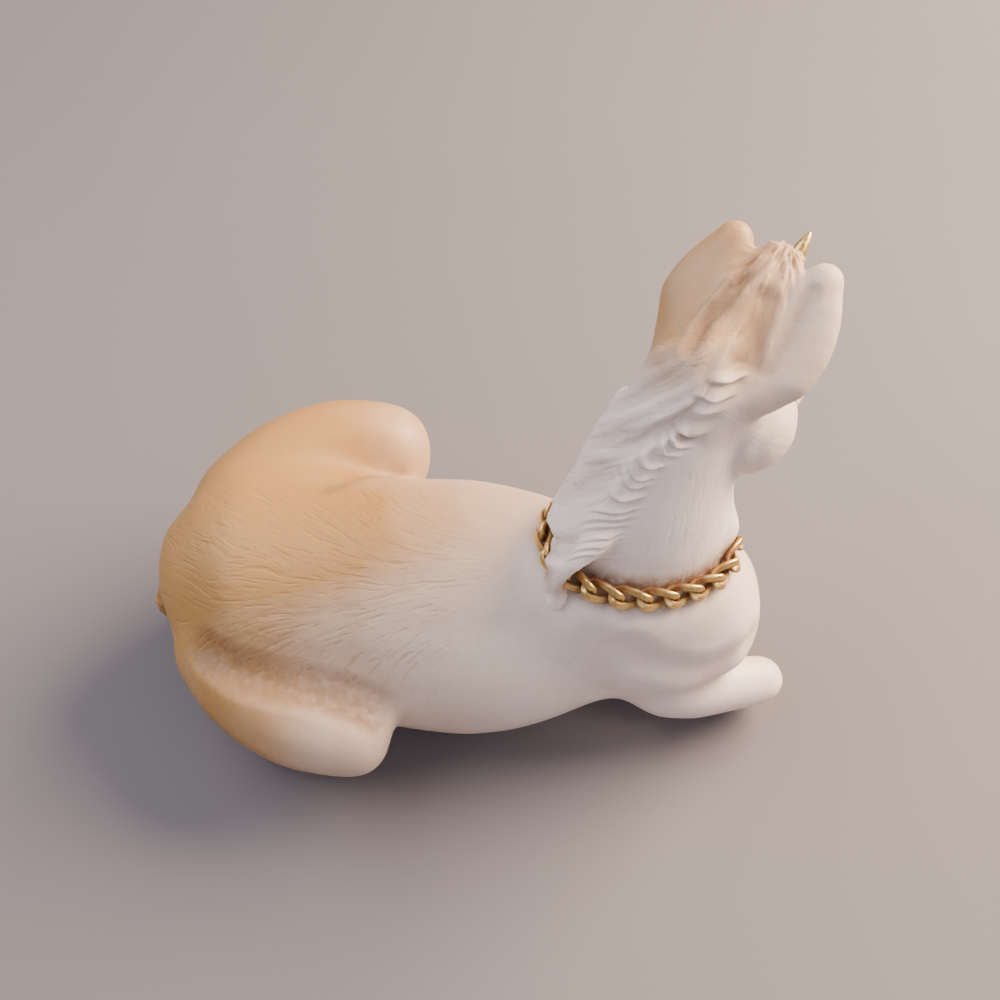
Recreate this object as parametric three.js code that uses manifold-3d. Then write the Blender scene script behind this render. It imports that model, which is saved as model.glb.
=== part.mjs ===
// A recumbent unicorn figurine, cast in ivory resin, with a gilt curb chain round its neck and a gilt horn.
// Millimetres, +Z up, +X towards the breast, +Y to the animal's left. The figurine stands on z = 0 and its
// footprint is centred on the origin. The castings are pegged together, and the chain hides the neck joint.

import * as THREE from "three";
import { mergeVertices } from "three/addons/utils/BufferGeometryUtils.js";
import Module from "manifold-3d";

const wasm = await Module();
wasm.setup();

// Fits

const GLUE_GAP = 0.3; // between two castings that are glued together
const LEG_PEG = { radius: 3.2, length: 13 };
const TAIL_PEG = { radius: 1.8, length: 12 };
const EAR_PEG = { radius: 1.5, reach: 7.2, drop: 1 };
const HORN_PEG = { radius: 1.5, depth: 5 };
const FORELOCK_PEG = { radius: 1.5, depth: 6 };
const MANE_PEG = { radius: 1.8, reach: 0.45 };

// Main sizes. The girth, at x = 0, is where the barrel is widest.

const RUMP_REACH = 61; // from the girth back to the dock of the tail
const BREAST_REACH = 64; // from the girth forward to the breast
const KNEE_LEAD = 12.5; // how far the knee of the right foreleg lies ahead of the breast
const KNEE_REACH = BREAST_REACH + KNEE_LEAD;
const STIFLE_SPREAD = 36; // from the middle plane out to the stifle of a hind leg
const TORSO_MIDDLE = 32; // height of the middle of the torso
const SEAT_HEIGHT = 61; // height of the step round the foot of the neck
const NECK_RISE = 35; // from that step up to the nape

// Torso: oval sections from the dock of the tail to the breast. half is half the width and half the height.

const TORSO = [
  { at: [-RUMP_REACH, 0, TORSO_MIDDLE - 0.5], half: [18, 17.5] },
  { at: [-RUMP_REACH + 12, 2.5, TORSO_MIDDLE + 1], half: [29, 24] },
  { at: [-RUMP_REACH + 28, 1, TORSO_MIDDLE], half: [29, 26.5] },
  { at: [-15, 0, TORSO_MIDDLE - 1.5], half: [28.5, 30.8] },
  { at: [5, 0, TORSO_MIDDLE - 2], half: [29.5, 32.2] },
  { at: [BREAST_REACH - 41, 0, TORSO_MIDDLE + 0.5], half: [26, 27.8] },
  { at: [BREAST_REACH - 27, 0, TORSO_MIDDLE + 3], half: [20.8, 22] },
  { at: [BREAST_REACH - 12, 0, TORSO_MIDDLE + 5.5], half: [21, 20.5] },
  { at: [BREAST_REACH, 0, TORSO_MIDDLE + 7], half: [16, 16.5] },
];
const TORSO_DOMES = [8, 8.5];

// Legs: each is a row of forms, from the body outwards. The right legs are drawn and the left ones mirrored,
// apart from the thighs: the weight is on the right hip, so the left thigh lies higher.
// domes are the depths of a form's rounded ends.

const RIGHT_THIGH = {
  domes: [8, 8],
  stations: [
    { at: [-RUMP_REACH + 9, -STIFLE_SPREAD + 24, TORSO_MIDDLE - 4], half: [14, 13.5] },
    { at: [-RUMP_REACH + 18, -STIFLE_SPREAD + 13, TORSO_MIDDLE - 3.5], half: [14, 12.8] },
    { at: [-RUMP_REACH + 30, -STIFLE_SPREAD + 5.2, TORSO_MIDDLE - 4], half: [13.4, 12] },
    { at: [-RUMP_REACH + 43.5, -STIFLE_SPREAD + 2, TORSO_MIDDLE - 5], half: [10.5, 10.5] },
  ],
};
const LEFT_THIGH = {
  domes: [8, 9.5],
  stations: [
    { at: [-RUMP_REACH + 8.5, STIFLE_SPREAD - 19.5, TORSO_MIDDLE + 5], half: [14.5, 15.5] },
    { at: [-RUMP_REACH + 17.5, STIFLE_SPREAD - 7, TORSO_MIDDLE + 6.5], half: [14.5, 15.5] },
    { at: [-RUMP_REACH + 30, STIFLE_SPREAD + 0.8, TORSO_MIDDLE + 7], half: [14.2, 15] },
    { at: [-RUMP_REACH + 43, STIFLE_SPREAD + 3, TORSO_MIDDLE + 6.5], half: [12.2, 13.6] },
  ],
};
const GASKIN = {
  domes: [6, 5],
  stations: [
    { at: [-RUMP_REACH + 44, -STIFLE_SPREAD + 1, 25], half: [8.5, 9] },
    { at: [-RUMP_REACH + 29, -STIFLE_SPREAD + 5, 16], half: [7.5, 8] },
    { at: [-RUMP_REACH + 17, -STIFLE_SPREAD + 11, 9], half: [6, 6.5] },
  ],
};
const HIND_CANNON = {
  domes: [4, 3],
  stations: [
    { at: [-RUMP_REACH + 15, -STIFLE_SPREAD + 12, 7], half: [5.2, 5.6] },
    { at: [-RUMP_REACH + 23, -STIFLE_SPREAD + 13, 5], half: [4.2, 4.6] },
    { at: [-RUMP_REACH + 31, -STIFLE_SPREAD + 13, 4.6], half: [4.6, 4.8] },
  ],
};
const HIND_HOOF = {
  domes: [2, 1.5],
  stations: [
    { at: [-RUMP_REACH + 32, -STIFLE_SPREAD + 13, 4.4], half: [4.2, 4.4] },
    { at: [-RUMP_REACH + 41, -STIFLE_SPREAD + 13.5, 4], half: [5.4, 4.6] },
  ],
};
const FOREARM = {
  domes: [6, 5.5],
  stations: [
    { at: [BREAST_REACH - 19, -9, TORSO_MIDDLE - 5], half: [9, 10] },
    { at: [BREAST_REACH - 11, -11.5, 20.5], half: [8.4, 9] },
    { at: [KNEE_REACH - 9.5, -7, 15], half: [6.6, 7] },
    { at: [KNEE_REACH, -2.5, 12], half: [6, 6.2] },
  ],
};
const FORE_CANNON = {
  domes: [4, 3],
  stations: [
    { at: [KNEE_REACH - 1.5, -2.5, 7], half: [4.8, 5] },
    { at: [KNEE_REACH - 14.5, -2.2, 4.8], half: [4, 4.4] },
    { at: [KNEE_REACH - 24.5, -1.5, 4.6], half: [4.3, 4.6] },
  ],
};
const FORE_HOOF = {
  domes: [2, 1.5],
  stations: [
    { at: [KNEE_REACH - 23.5, -1.6, 4.4], half: [4, 4.3] },
    { at: [KNEE_REACH - 33.5, -1, 4], half: [5, 4.4] },
  ],
};
const LEFT_FORELEG_SHIFT = [-7, 10, 0]; // the left foreleg lies further back and further out
const LEFT_GASKIN_SHIFT = [-0.5, 3.5, 4]; // the left gaskin follows the higher thigh

// Tail: hangs from the dock and curls to the left along the ground

const TAIL = [
  { at: [-RUMP_REACH - 1, 0, TORSO_MIDDLE + 3], half: [3.4, 3.4] },
  { at: [-RUMP_REACH - 7.5, 0.5, TORSO_MIDDLE - 5], half: [4.2, 3.8] },
  { at: [-RUMP_REACH - 8, 4, 15], half: [5, 4.4] },
  { at: [-RUMP_REACH - 4, 13, 6.5], half: [5.4, 4.6] },
  { at: [-RUMP_REACH + 4, 24, 4.6], half: [5, 4.2] },
  { at: [-RUMP_REACH + 13, 33, 3.6], half: [3, 2.8] },
];

// Neck: sections from its foot, inside the shoulders, to the nape. crest points at the mane's parting.
// The head turns to the left, so the left side of the throat is flat: by a share of the half sizes.

const NECK_FOOT = 7; // how far the neck goes down into the shoulders
const THROAT_FLAT = 0.2;
const THROAT_SIDE = -0.95; // radians from the left flank to the middle of the flat side
const NECK = [
  {
    at: [BREAST_REACH - 21, -0.6, SEAT_HEIGHT - NECK_FOOT],
    half: [15.2, 20.4],
    crest: [-0.95, -0.3, 0],
    flat: THROAT_FLAT,
  },
  {
    at: [BREAST_REACH - 17.2, 2, SEAT_HEIGHT + 11],
    half: [13.8, 17.6],
    crest: [-0.76, -0.65, 0],
    flat: THROAT_FLAT / 2,
  },
  { at: [BREAST_REACH - 16, 5.4, SEAT_HEIGHT + NECK_RISE - 11], half: [12.6, 15], crest: [-0.68, -0.73, 0] },
  { at: [BREAST_REACH - 13.2, 8.2, SEAT_HEIGHT + NECK_RISE], half: [11.2, 13.2], crest: [-0.6, -0.8, 0] },
];
const SEAT = { at: [BREAST_REACH - 20.8, 0, SEAT_HEIGHT], half: [15, 20], crest: [-0.94, -0.34, 0] };
const SEAT_LEAN = 7; // degrees that the seat falls towards the breast
const SEAT_LEDGE = 3.4; // the step round the neck that the chain lies on
const SHOULDER_RISE = 27; // height of the shoulders under the seat
const SHOULDER_FLARE = 3; // how much the shoulders widen below the seat
const NECK_SPIGOT = { radius: 8, depth: 9 };
const NAPE_SPIGOT = { radius: 4.5, depth: 6 };

// Head, in its own frame: +X from the poll to the muzzle, +Y to the left, +Z out of the forehead.

const POLL_OFFSET = [5.7, 4.8, 16]; // from the centre of the neck's top section to the poll
const HEAD_FACING = 57; // degrees that the head is turned to the left of the body
const HEAD_PITCH = 40; // degrees that the face falls below level
const HEAD = [
  { at: [-3, 0, -9], half: [9, 9] },
  { at: [5, 0, -11], half: [11, 12.5] },
  { at: [15, 0, -12], half: [11.2, 13.5] },
  { at: [27, 0, -11], half: [9, 10.5] },
  { at: [37, 0, -9.8], half: [7, 7.8] },
  { at: [44, 0, -10], half: [7.2, 7.6] },
];
const HEAD_DOMES = [5, 4.5];
const NAPE_REACH = [4, 0, -9]; // where the nape ends inside the skull
const JOWL = { at: [15, 7.6, -15], half: [12.2, 6.2, 11.2] };
const EYE = { at: [19, 9.6, -5.5], half: [3.6, 2.2, 2.8] };
const NOSTRIL = { at: [46, 4.6, -7], half: [2, 1.6, 1.2] };

const EAR_BASE = [-0.5, 11, -10];
const EAR_TOP = [5, 10.2, 17];
const EAR_HALF_WIDTHS = [4.6, 7.4, 8.4, 7.4, 4];
const EAR_HALF_DEPTH = 3.6;
const EAR_DOME = 4;
const EAR_ROOT_DOME = 2;
const EAR_WALL = 1.4;

const HORN_BASE = [11, 0, -1];
const HORN_TIP = [15.8, 0, 24.4];
const HORN_RADIUS = 4.9;
const HORN_BLUNTNESS = 0.6; // 1 for a straight cone, less for one that bulges
const HORN_TURNS = 2.5;
const HORN_FLUTE = 0.12; // depth of the spiral flutes, as a share of the radius

const FORELOCK = [
  { at: [-3, 0, -3], half: [8, 6] },
  { at: [0, 0, 6], half: [7, 5.4] },
  { at: [3.5, 0, 13], half: [6.2, 4.4] },
  { at: [6, 0, 18], half: [5, 3.2] },
];
const FORELOCK_DOMES = [3, 2.5];

// Mane: locks that fall from the root line on the crest over the left side of the neck

const LOCK_COUNT = 8;
const LOCK_LIFTS = [4, 1.6]; // of a lock's middle off the neck, for the lowest and the highest lock
const LOCK_HALF = [2.4, 4.4]; // half the thickness and half the width of a lock at its root
const LOCK_SLIM = [1, 1, 0.85, 0.5]; // how a lock thins towards its tip
const LOWEST_LOCK = 0.25; // where the lowest lock springs, as a share of the neck's length
const LOWEST_FALL = 0.5; // how far the lowest lock falls, as a share of the fall of the highest
const LOCK_COURSE = [
  { turn: 0.65, fall: 0.05, off: 1 }, // turn: radians round the neck from the crest
  { turn: 1.3, fall: 0.16, off: 1 }, // fall: share of the neck's length that the lock has come down
  { turn: 1.9, fall: 0.29, off: 0.5 }, // off: share of the lock's lift off the neck
];
const ROOT_HALF = [3.4, 2.8]; // half sizes of the ridge that the locks spring from
const ROOT_SHARES = [0.25, 0.38, 0.52, 0.67, 0.82, 0.97]; // where that ridge crosses the neck's sections
const ROOT_ON_HEAD = [[-9.5, -2, -8], [-8, -1, 0]]; // its upper end, in the head's frame
const NAPE_LOCK = [[-9, -1, -1], [-8.5, 4.5, -5], [-6.5, 9.5, -9], [-3, 12, -14]]; // in the head's frame
const NAPE_LOCK_STEP = [[-0.5, -1, -4], [0, -0.5, -4], [0, 0, -4.5], [0, 0, -5]]; // from one to the next
const NAPE_LOCK_COUNT = 3;
const WITHERS_LOCK_HALF = [5.2, 2.8]; // the last lock, which lies over the chain
const WITHERS_TURNS = [0.42, 0.46]; // radians from the crest to the right, at the chain and at the tip
const WITHERS_TIP_HALF = [2.6, 1.8];
const WITHERS_TIP_DROP = 3; // of its tip below the seat of the neck

// Chain: twisted links that lie on the ledge round the neck

const LINK_COUNT = 20;
const LINK_WIRE = 1.5;
const LINK_HALF_WIDTH = 1.6; // to the middle of the wire
const LINK_TWIST = 1.05; // how far the wire leaves the link's plane
const LINK_TURNS = 12;
const CHAIN_ROOM = 1.3; // how much larger the room for the chain is than a straight link
const LINK_LAP = 2; // how far a link reaches into the next, between the middles of the wires

// Helpers for solids

const UP = new THREE.Vector3(0, 0, 1);
const vector = (xyz) => new THREE.Vector3(...xyz);
const evenly = (count, make) => Array.from({ length: count }, (_, i) => make(i));

function solidOf(geometry) {
  const bare = geometry.index ? geometry.toNonIndexed() : geometry.clone();
  bare.deleteAttribute("normal");
  bare.deleteAttribute("uv");
  const merged = mergeVertices(bare, 1e-4);
  const mesh = new wasm.Mesh({
    numProp: 3,
    vertProperties: merged.attributes.position.array,
    triVerts: new Uint32Array(merged.index.array),
  });
  return new wasm.Manifold(mesh);
}

function geometryOf(solid) {
  const mesh = solid.getMesh();
  const geometry = new THREE.BufferGeometry();
  geometry.setAttribute("position", new THREE.BufferAttribute(mesh.vertProperties, 3));
  geometry.setIndex(new THREE.BufferAttribute(mesh.triVerts, 1));
  geometry.computeVertexNormals();
  return geometry;
}

const joined = (solids) => solids.reduce((whole, piece) => whole.add(piece));
const cutBy = (solid, tools) => tools.reduce((rest, tool) => rest.subtract(tool), solid);

// The largest body of a solid, without its crumbs and without the shells of spaces shut up inside it.
const outerSkin = (solid) => solid.decompose().reduce((a, b) => (a.volume() > b.volume() ? a : b));

function facingOut(points, faces) {
  const geometry = new THREE.BufferGeometry().setFromPoints(points);
  geometry.setIndex(faces);
  const made = solidOf(geometry);
  if (made.volume() > 0) return made;
  geometry.setIndex(faces.reverse());
  return solidOf(geometry);
}

// The faces between two rings of points, given by the numbers of their first points.
function band(here, there, sides) {
  const faces = [];
  for (let k = 0; k < sides; k++) {
    const next = (k + 1) % sides;
    faces.push(here + k, here + next, there + next);
    faces.push(here + k, there + next, there + k);
  }
  return faces;
}

// A closed skin over a row of rings, with a point to close each end.
function skin(rings, first, last) {
  const sides = rings[0].length;
  const points = [first, ...rings.flat(), last];
  const end = 1 + (rings.length - 1) * sides;
  const faces = [];
  for (let k = 0; k < sides; k++) {
    const next = (k + 1) % sides;
    faces.push(0, 1 + next, 1 + k);
    faces.push(points.length - 1, end + k, end + next);
  }
  for (let r = 0; r + 1 < rings.length; r++) {
    faces.push(...band(1 + r * sides, 1 + (r + 1) * sides, sides));
  }
  return facingOut(points, faces);
}

// A closed skin over rings that run round in a loop.
function loopSkin(rings) {
  const sides = rings[0].length;
  const faces = rings.flatMap((_, r) => band(r * sides, ((r + 1) % rings.length) * sides, sides));
  return facingOut(rings.flat(), faces);
}

// A section of a lofted form: where it is, which way it faces and how large it is. share runs from 0 to 1.
function sectionAt(stations, share, up) {
  const path = new THREE.CatmullRomCurve3(stations.map((s) => vector(s.at)));
  const sizes = new THREE.CatmullRomCurve3(stations.map((s) => vector([...s.half, s.flat ?? 0])));
  const centre = path.getPoint(share);
  const along = path.getTangent(share);
  const size = sizes.getPoint(share);
  const lean = up ? up.clone() : crestAt(stations, share);
  const deep = lean.addScaledVector(along, -lean.dot(along)).normalize();
  const across = new THREE.Vector3().crossVectors(deep, along);
  return { centre, along, deep, across, half: [size.x, size.y], flat: size.z };
}

function crestAt(stations, share) {
  const turn = new THREE.CatmullRomCurve3(stations.map((s) => vector(s.crest)));
  return turn.getPoint(share);
}

// A point on a section's outline, lifted off it. The angle grows from the left flank to the crest.
function outlinePoint(section, angle, lift = 0) {
  const flat = (section.flat ?? 0) * Math.max(0, Math.cos(angle - THROAT_SIDE)) ** 2;
  const half = section.half.map((h) => h * (1 - flat) + lift);
  return section.centre
    .clone()
    .addScaledVector(section.across, Math.cos(angle) * half[0])
    .addScaledVector(section.deep, Math.sin(angle) * half[1]);
}

function outline(section, sides, scale, shift) {
  const centre = section.centre.clone().addScaledVector(section.along, shift);
  const half = section.half.map((h) => h * scale);
  return evenly(sides, (k) => outlinePoint({ ...section, centre, half }, (k / sides) * 2 * Math.PI));
}

// The rings beyond the last section of a form: a rounded end, or a flat one that has only grown.
function endRings(section, sides, dome, grow, sense) {
  if (!dome) return grow ? [outline(section, sides, 1, sense * grow)] : [];
  const turns = [Math.PI / 6, Math.PI / 3];
  return turns.map((t) => outline(section, sides, Math.cos(t), sense * (dome + grow) * Math.sin(t)));
}

// A lofted form with oval sections. A dome of 0 is a flat end, and grow makes the form larger all round.
function loft(stations, { up, steps, sides, domes = [0, 0], grow = 0 }) {
  const grown = stations.map((s) => ({ ...s, half: s.half.map((h) => h + grow) }));
  const sections = evenly(steps + 1, (i) => sectionAt(grown, i / steps, up));
  const rings = sections.map((section) => outline(section, sides, 1, 0));
  const tips = [-1, 1].map((sense, i) => {
    const section = sections[i * steps];
    const added = endRings(section, sides, domes[i], grow, sense);
    if (i) rings.push(...added);
    else rings.unshift(...added.reverse());
    return section.centre.clone().addScaledVector(section.along, sense * (domes[i] + grow));
  });
  return skin(rings, ...tips);
}

// An egg-shaped form, placed by a matrix.
function ball({ at, half }, frame, grow = 0) {
  const geometry = new THREE.SphereGeometry(1, 10, 6);
  geometry.scale(...half.map((h) => h + grow)).translate(...at);
  return solidOf(geometry.applyMatrix4(frame));
}

// A round peg between two points, and the socket that takes it.
function peg(from, to, radius) {
  const axis = to.clone().sub(from);
  const turn = new THREE.Quaternion().setFromUnitVectors(THREE.Object3D.DEFAULT_UP, axis.clone().normalize());
  const geometry = new THREE.CylinderGeometry(radius, radius, axis.length(), 12);
  geometry.applyQuaternion(turn).translate(...from.clone().lerp(to, 0.5));
  return solidOf(geometry);
}

function socket(from, to, radius) {
  const beyond = to.clone().sub(from).setLength(GLUE_GAP).add(to);
  return peg(from, beyond, radius + GLUE_GAP);
}

const GROUND_REACH = 400;
const room = new THREE.BoxGeometry(GROUND_REACH, GROUND_REACH, GROUND_REACH);
const aboveGround = solidOf(room.translate(0, 0, GROUND_REACH / 2));

const pieces = {};
const torsoCuts = [];
const neckCuts = [];
const headCuts = [];

// Torso and shoulders

// The seat's frame leans forward from the level, about the line across the neck.
function seatFrame() {
  const centre = vector(SEAT.at);
  const across = new THREE.Vector3().crossVectors(vector(SEAT.crest), UP).normalize();
  const lean = THREE.MathUtils.degToRad(SEAT_LEAN);
  const along = UP.clone().applyAxisAngle(across, lean);
  const deep = new THREE.Vector3().crossVectors(along, across);
  return { centre, along, deep, across, half: SEAT.half, flat: THROAT_FLAT };
}

const seat = seatFrame();
const shoulders = [
  [SHOULDER_RISE, SHOULDER_FLARE / 2],
  [SHOULDER_RISE / 3, SHOULDER_FLARE],
  [0, 0],
].map(([below, flare]) => ({
  at: seat.centre.clone().addScaledVector(seat.along, -below).toArray(),
  half: seat.half.map((h) => h + SEAT_LEDGE + flare),
  flat: THROAT_FLAT,
}));

function torsoForm(grow) {
  const barrel = loft(TORSO, { up: UP, steps: 16, sides: 20, domes: TORSO_DOMES, grow });
  return barrel.add(loft(shoulders, { up: seat.deep, steps: 4, sides: 20, grow }));
}

const torsoClear = torsoForm(GLUE_GAP);

// Legs, each with a peg from its own middle towards the middle of the torso

const moved = (form, move) => ({ ...form, stations: form.stations.map((s) => ({ ...s, at: move(s.at) })) });
const drawn = (form) => form;
const mirrored = (form) => moved(form, ([x, y, z]) => [x, -y, z]);
const shifted = (form, by) => moved(form, (at) => at.map((v, i) => v + by[i]));
const leftGaskin = shifted(mirrored(GASKIN), LEFT_GASKIN_SHIFT);
const leftFore = (form) => shifted(mirrored(form), LEFT_FORELEG_SHIFT);

function limb(forms, rootShare) {
  const solids = forms.map(({ stations, domes }) => {
    const steps = 2 * stations.length - 2;
    return loft(stations, { up: UP, steps, sides: 10, domes });
  });
  const root = sectionAt(forms[0].stations, rootShare, UP).centre;
  const inward = vector([root.x, 0, TORSO_MIDDLE]).sub(root).setLength(LEG_PEG.length);
  const end = root.clone().add(inward);
  torsoCuts.push(socket(root, end, LEG_PEG.radius));
  const cut = joined(solids).intersect(aboveGround).subtract(torsoClear);
  return cut.add(peg(root, end, LEG_PEG.radius));
}

const hindLeg = (thigh, gaskin, side) => limb([thigh, gaskin, side(HIND_CANNON), side(HIND_HOOF)], 0.66);
const foreleg = (side) => limb([side(FOREARM), side(FORE_CANNON), side(FORE_HOOF)], 0.55);

pieces.hind_leg_right = hindLeg(RIGHT_THIGH, GASKIN, drawn);
pieces.hind_leg_left = hindLeg(LEFT_THIGH, leftGaskin, mirrored);
pieces.foreleg_right = foreleg(drawn);
pieces.foreleg_left = foreleg(leftFore);

// Tail

const dock = sectionAt(TAIL, 0.2, UP).centre;
const dockEnd = vector([dock.x + TAIL_PEG.length, 0, TORSO_MIDDLE]);
torsoCuts.push(socket(dock, dockEnd, TAIL_PEG.radius));
const tailForm = loft(TAIL, { up: UP, steps: 12, sides: 8, domes: [2, 3] });
const tailSeated = cutBy(tailForm.intersect(aboveGround), [torsoClear]);
pieces.tail = tailSeated.add(peg(dock, dockEnd, TAIL_PEG.radius));

// Neck, with a spigot down into the shoulders and one up into the head

const nape = sectionAt(NECK, 1);
const neckForm = (grow) => loft(NECK, { steps: 7, sides: 18, grow });
const neckClear = neckForm(GLUE_GAP);
const spigotRoot = sectionAt(NECK, 0.2).centre;
const spigotEnd = seat.centre.clone().addScaledVector(seat.along, -NECK_SPIGOT.depth);
const napeRoot = sectionAt(NECK, 0.85).centre;
const napeEnd = nape.centre.clone().addScaledVector(nape.along, NAPE_SPIGOT.depth);
torsoCuts.push(socket(spigotRoot, spigotEnd, NECK_SPIGOT.radius));
headCuts.push(socket(napeRoot, napeEnd, NAPE_SPIGOT.radius));
const neckWhole = joined([
  neckForm(0),
  peg(spigotRoot, spigotEnd, NECK_SPIGOT.radius),
  peg(napeRoot, napeEnd, NAPE_SPIGOT.radius),
]);

// Head

const turn = THREE.MathUtils.degToRad(HEAD_FACING);
const pitch = THREE.MathUtils.degToRad(HEAD_PITCH);
const ahead = vector([Math.cos(turn), Math.sin(turn), 0]);
const headX = ahead.clone().multiplyScalar(Math.cos(pitch)).addScaledVector(UP, -Math.sin(pitch));
const headZ = ahead.clone().multiplyScalar(Math.sin(pitch)).addScaledVector(UP, Math.cos(pitch));
const headY = new THREE.Vector3().crossVectors(headZ, headX);
const poll = nape.centre.clone().add(vector(POLL_OFFSET));
const headFrame = new THREE.Matrix4().makeBasis(headX, headY, headZ).setPosition(poll);
const headPoint = (xyz) => vector(xyz).applyMatrix4(headFrame);
const inHead = (stations) => stations.map((s) => ({ ...s, at: headPoint(s.at).toArray() }));
const onSide = ([x, y, z], side) => [x, y * side, z];
const bothSides = (form) => [1, -1].map((side) => ({ ...form, at: onSide(form.at, side) }));

const napeStations = [
  { at: nape.centre.clone().addScaledVector(nape.along, GLUE_GAP).toArray(), half: nape.half },
  { at: headPoint(NAPE_REACH).toArray(), half: nape.half },
];

function headForm(grow) {
  const skull = loft(inHead(HEAD), { up: headZ, steps: 9, sides: 14, domes: HEAD_DOMES, grow });
  const join = loft(napeStations, { up: nape.deep, steps: 1, sides: 18, grow });
  const bumps = [...bothSides(JOWL), ...bothSides(EYE)].map((form) => ball(form, headFrame, grow));
  return joined([skull, join, ...bumps]);
}

const headClear = headForm(GLUE_GAP);
const nostrils = bothSides(NOSTRIL).map((form) => ball(form, headFrame));

// Ears: cupped, open to the front

const earPoint = (side, share) =>
  vector(onSide(EAR_BASE, side)).lerp(vector(onSide(EAR_TOP, side)), share);

function earForm(side, { inset = 0, forward = 0, grow = 0 }) {
  const stations = EAR_HALF_WIDTHS.map((width, i) => {
    const at = earPoint(side, i / (EAR_HALF_WIDTHS.length - 1));
    return { at: [at.x + forward, at.y, at.z], half: [width - inset, EAR_HALF_DEPTH - inset / 2] };
  });
  const domes = [EAR_ROOT_DOME - inset / 2, EAR_DOME - inset];
  return loft(inHead(stations), { up: headX, steps: 6, sides: 10, domes, grow });
}

function ear(side) {
  const hollow = earForm(side, { inset: EAR_WALL, forward: EAR_HALF_DEPTH - EAR_WALL / 3 });
  const root = earPoint(side, 0.12).applyMatrix4(headFrame);
  const end = headPoint([EAR_BASE[0], side * EAR_PEG.reach, EAR_BASE[2] - EAR_PEG.drop]);
  headCuts.push(socket(root, end, EAR_PEG.radius));
  return cutBy(earForm(side, {}), [hollow, headClear, neckClear]).add(peg(root, end, EAR_PEG.radius));
}

pieces.ear_left = ear(1);
pieces.ear_right = ear(-1);

// Horn: a tapering rod with spiral flutes

const hornFoot = headPoint(HORN_BASE);
const hornTip = headPoint(HORN_TIP);
const hornStations = [HORN_BASE, HORN_TIP].map((at) => ({ at, half: [HORN_RADIUS, HORN_RADIUS] }));
const hornSteps = 15;
const hornRings = evenly(hornSteps, (i) => {
  const share = i / hornSteps;
  const section = sectionAt(inHead(hornStations), share, headX);
  const taper = (1 - share) ** HORN_BLUNTNESS;
  return evenly(10, (k) => {
    const angle = (k / 10) * 2 * Math.PI;
    const flute = 1 + HORN_FLUTE * Math.cos(2 * angle - share * HORN_TURNS * 2 * Math.PI);
    return outlinePoint({ ...section, half: section.half.map((h) => h * taper * flute) }, angle);
  });
});
const hornEnd = hornFoot.clone().addScaledVector(hornTip.clone().sub(hornFoot).normalize(), -HORN_PEG.depth);
headCuts.push(socket(hornFoot.clone().lerp(hornTip, 0.1), hornEnd, HORN_PEG.radius));
pieces.horn = skin(hornRings, hornFoot, hornTip)
  .subtract(headClear)
  .add(peg(hornFoot.clone().lerp(hornTip, 0.1), hornEnd, HORN_PEG.radius));

// Forelock: a tuft between the ears that hides the foot of the horn

const hornClear = peg(hornFoot, hornTip, HORN_RADIUS * (1 + HORN_FLUTE) + GLUE_GAP);
const earsClear = [1, -1].map((side) => earForm(side, { grow: GLUE_GAP }));
const forelockForm = (grow) =>
  loft(inHead(FORELOCK), { up: headX, steps: 6, sides: 10, domes: FORELOCK_DOMES, grow });
const forelockClear = forelockForm(GLUE_GAP);
const forelockRoot = headPoint(FORELOCK[1].at);
const forelockEnd = headPoint([FORELOCK[0].at[0] + 3, 0, FORELOCK[0].at[2] - FORELOCK_PEG.depth]);
headCuts.push(socket(forelockRoot, forelockEnd, FORELOCK_PEG.radius));
const forelockSeated = cutBy(forelockForm(0), [headClear, hornClear, ...earsClear]);
pieces.forelock = outerSkin(forelockSeated.add(peg(forelockRoot, forelockEnd, FORELOCK_PEG.radius)));

// Chain

const linkHalfDepth = LINK_TWIST + LINK_WIRE / 2;
const chainRise = LINK_HALF_WIDTH + LINK_WIRE / 2 + GLUE_GAP;
const chainPoint = (angle, lift) =>
  outlinePoint(seat, angle, linkHalfDepth + GLUE_GAP + lift).addScaledVector(seat.along, chainRise);
const chainCurve = new THREE.CatmullRomCurve3(
  evenly(48, (k) => chainPoint((k / 48) * 2 * Math.PI, 0)),
  true,
);
const linkHalfLength = (chainCurve.getLength() / LINK_COUNT + LINK_LAP) / 2;

// The frame of the chain at a share of its length: along the chain, up the neck, out from the neck.
function chainFrame(share) {
  const along = chainCurve.getTangentAt(share);
  const out = new THREE.Vector3().crossVectors(along, seat.along).normalize();
  const up = new THREE.Vector3().crossVectors(out, along);
  return new THREE.Matrix4().makeBasis(along, up, out).setPosition(chainCurve.getPointAt(share));
}

function link(share) {
  const frame = chainFrame(share);
  const rings = evenly(LINK_TURNS, (i) => {
    const t = (i / LINK_TURNS) * 2 * Math.PI;
    const [c, s] = [Math.cos(t), Math.sin(t)];
    const centre = vector([linkHalfLength * c, LINK_HALF_WIDTH * s, 2 * LINK_TWIST * s * c]);
    const run = vector([-linkHalfLength * s, LINK_HALF_WIDTH * c, 2 * LINK_TWIST * (c * c - s * s)]);
    const along = run.normalize();
    const deep = UP.clone().addScaledVector(along, -UP.dot(along)).normalize();
    const across = new THREE.Vector3().crossVectors(deep, along);
    const wire = { centre, along, deep, across, half: [LINK_WIRE / 2, LINK_WIRE / 2] };
    return outline(wire, 6, 1, 0).map((point) => point.applyMatrix4(frame));
  });
  return loopSkin(rings);
}

for (let i = 0; i < LINK_COUNT; i++) {
  pieces[`chain_link_${String(i + 1).padStart(2, "0")}`] = link(i / LINK_COUNT);
}

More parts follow.
